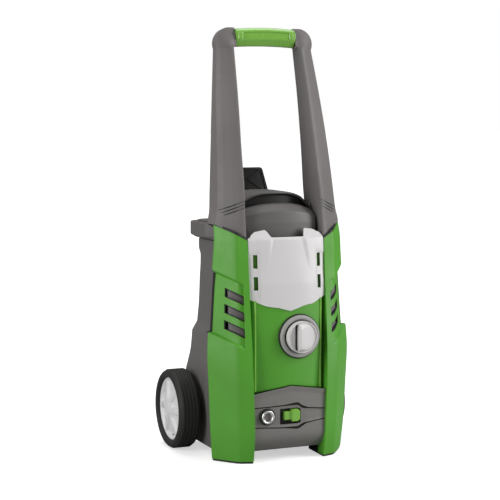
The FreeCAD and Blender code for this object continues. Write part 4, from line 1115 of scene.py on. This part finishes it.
def make_rim(name, side, centre, near, far):
    """Bulging wheel disc: raised spokes with hollows between, and small holes by the rim."""
    count = 180
    rings = merged([0, 2, 4.5], [5, 6, 8], steps(9, 56, 30), [57, 58, 59, 59.8, 60.6, 61.2, 61.8],
                   nearest=0.2)
    rows = []
    for r in rings:
        row = []
        for i in range(count):
            angle = 2 * math.pi * i / count
            part = (i / count * SPOKES) % 1
            from_spoke = abs(part - 0.5) * 2
            half_width = mix(0.50, 0.20, ease(r, 16, 58))
            ridge = ease(from_spoke, 1 - half_width - 0.12, 1 - half_width + 0.10)
            dome = 7.5 * (1 - (r / 60) ** 2)
            hollow = 5.0 * (1 - ridge) * ease(r, 15, 24) * (1 - ease(r, 53, 57))
            cap = 1.5 * (1 - ease(r, 11.5, 13))
            groove = 0.9 * window(r, 12.6, 15.4, 1.2)
            rim = 2.2 * ease(r, 54.5, 57.5) - 3.2 * ease(r, 59.6, 61.8)
            x = far - 9.5 + dome - hollow + cap - groove + rim
            row.append((x, centre.y + r * math.cos(angle), centre.z + r * math.sin(angle)))
        rows.append(row)

    def hole(row, column):
        r = (rings[row] + rings[row + 1]) / 2
        part = ((column + 0.5) / count * SPOKES) % 1
        return 49.0 < r < 53.4 and abs(part - 0.5) < 0.065

    surface(f"wheel_disc_{name}", rows, "rim_plastic", closed=True, skip=hole,
            body=f"wheel_{name}", stands_for=[f"rim_{name}", f"hub_cap_{name}"], mirror=side < 0,
            inside=(near, centre.y, centre.z), wall=2)
    back = [(near + 6, 7), (near + 4.5, 16), (near + 4.5, 20), (near + 9, 22), (near + 16, 40),
            (near + 15, 57), (near + 6, 60.5), (near + 4, 61.6)]
    turned(f"wheel_back_{name}", back, "black_plastic", (0, centre.y, centre.z), axis="X", count=90,
           body=f"wheel_{name}", mirror=side < 0, inside=(far, centre.y, centre.z))


make_wheels()


# ---------------------------------------------------------------- camera, light and floor
CAMERA_PLACE = (-1.0939, -2.5079, 0.640)
CAMERA_LENS = 104.06
CAMERA_TILT, CAMERA_TURN = 84.61, -22.97


def look_at(thing, target):
    direction = Vector(target) - thing.location
    thing.rotation_euler = direction.to_track_quat("-Z", "Y").to_euler()


def add_softbox(name, place, target, width, height, watts):
    light = bpy.data.lights.new(name, "AREA")
    light.shape = "RECTANGLE"
    light.size = width
    light.size_y = height
    light.energy = watts
    lamp = new_object(name, light)
    lamp.location = place
    look_at(lamp, target)


def show_to_camera(nodes, links, seen, otherwise, output):
    """One surface where the camera looks straight at it, and another for all other light."""
    path = nodes.new("ShaderNodeLightPath")
    pick = nodes.new("ShaderNodeMixShader")
    links.new(path.outputs["Is Camera Ray"], pick.inputs["Fac"])
    links.new(otherwise, pick.inputs[1])
    links.new(seen, pick.inputs[2])
    links.new(pick.outputs["Shader"], output.inputs["Surface"])


def make_world():
    """White as a backdrop, and a dimmer fill as a light."""
    world = bpy.data.worlds.new("studio")
    world.use_nodes = True
    nodes, links = world.node_tree.nodes, world.node_tree.links
    fill = nodes["Background"]
    set_inputs(fill, Color=(1, 1, 1, 1), Strength=0.19)
    backdrop = nodes.new("ShaderNodeBackground")
    set_inputs(backdrop, Color=(1, 1, 1, 1), Strength=1.0)
    show_to_camera(nodes, links, backdrop.outputs["Background"], fill.outputs["Background"],
                   nodes["World Output"])
    bpy.context.scene.world = world


def make_camera():
    camera_data = bpy.data.cameras.new("camera")
    camera_data.sensor_width = 36
    camera_data.lens = CAMERA_LENS
    camera = new_object("camera", camera_data)
    camera.location = CAMERA_PLACE
    camera.rotation_euler = (math.radians(CAMERA_TILT), 0, math.radians(CAMERA_TURN))
    bpy.context.scene.camera = camera
    bpy.context.scene.view_settings.view_transform = "Standard"


def floor_material():
    """Near white to the camera, brighter with distance, and a dull grey to everything else."""
    pale, nodes, links, shader, place = new_material("floor_pale", (0.95, 0.95, 0.95), 0.7)
    set_inputs(shader, Emission_Color=(1, 1, 1, 1))
    far = nodes.new("ShaderNodeVectorMath")
    far.operation = "LENGTH"
    glow = nodes.new("ShaderNodeMapRange")
    set_inputs(glow, From_Min=0.5, From_Max=2.2, To_Min=0.55, To_Max=1.0)
    links.new(place.outputs["Object"], far.inputs[0])
    links.new(far.outputs["Value"], glow.inputs["Value"])
    links.new(glow.outputs["Result"], shader.inputs["Emission Strength"])
    dull = nodes.new("ShaderNodeBsdfDiffuse")
    set_inputs(dull, Color=(0.42, 0.42, 0.42, 1))
    show_to_camera(nodes, links, shader.outputs["BSDF"], dull.outputs["BSDF"], nodes["Material Output"])
    return pale


def make_floor():
    mesh = bpy.data.meshes.new("floor")
    reach = 40
    mesh.from_pydata([(-reach, -reach, 0), (reach, -reach, 0), (reach, reach, 0), (-reach, reach, 0)],
                     [], [(0, 1, 2, 3)])
    floor = new_object("floor", mesh)
    mesh.materials.append(floor_material())


def make_lights():
    middle = (0, 0, 0.35)
    add_softbox("side_left", (-2.4, -0.65, 1.1), middle, 1.2, 2.2, 34)
    add_softbox("side_right", (1.8, -1.35, 1.2), middle, 1.0, 2.2, 41)
    add_softbox("top", (0, 0.7, 2.6), middle, 2.4, 1.6, 26)


make_world()
make_camera()
make_floor()
make_lights()
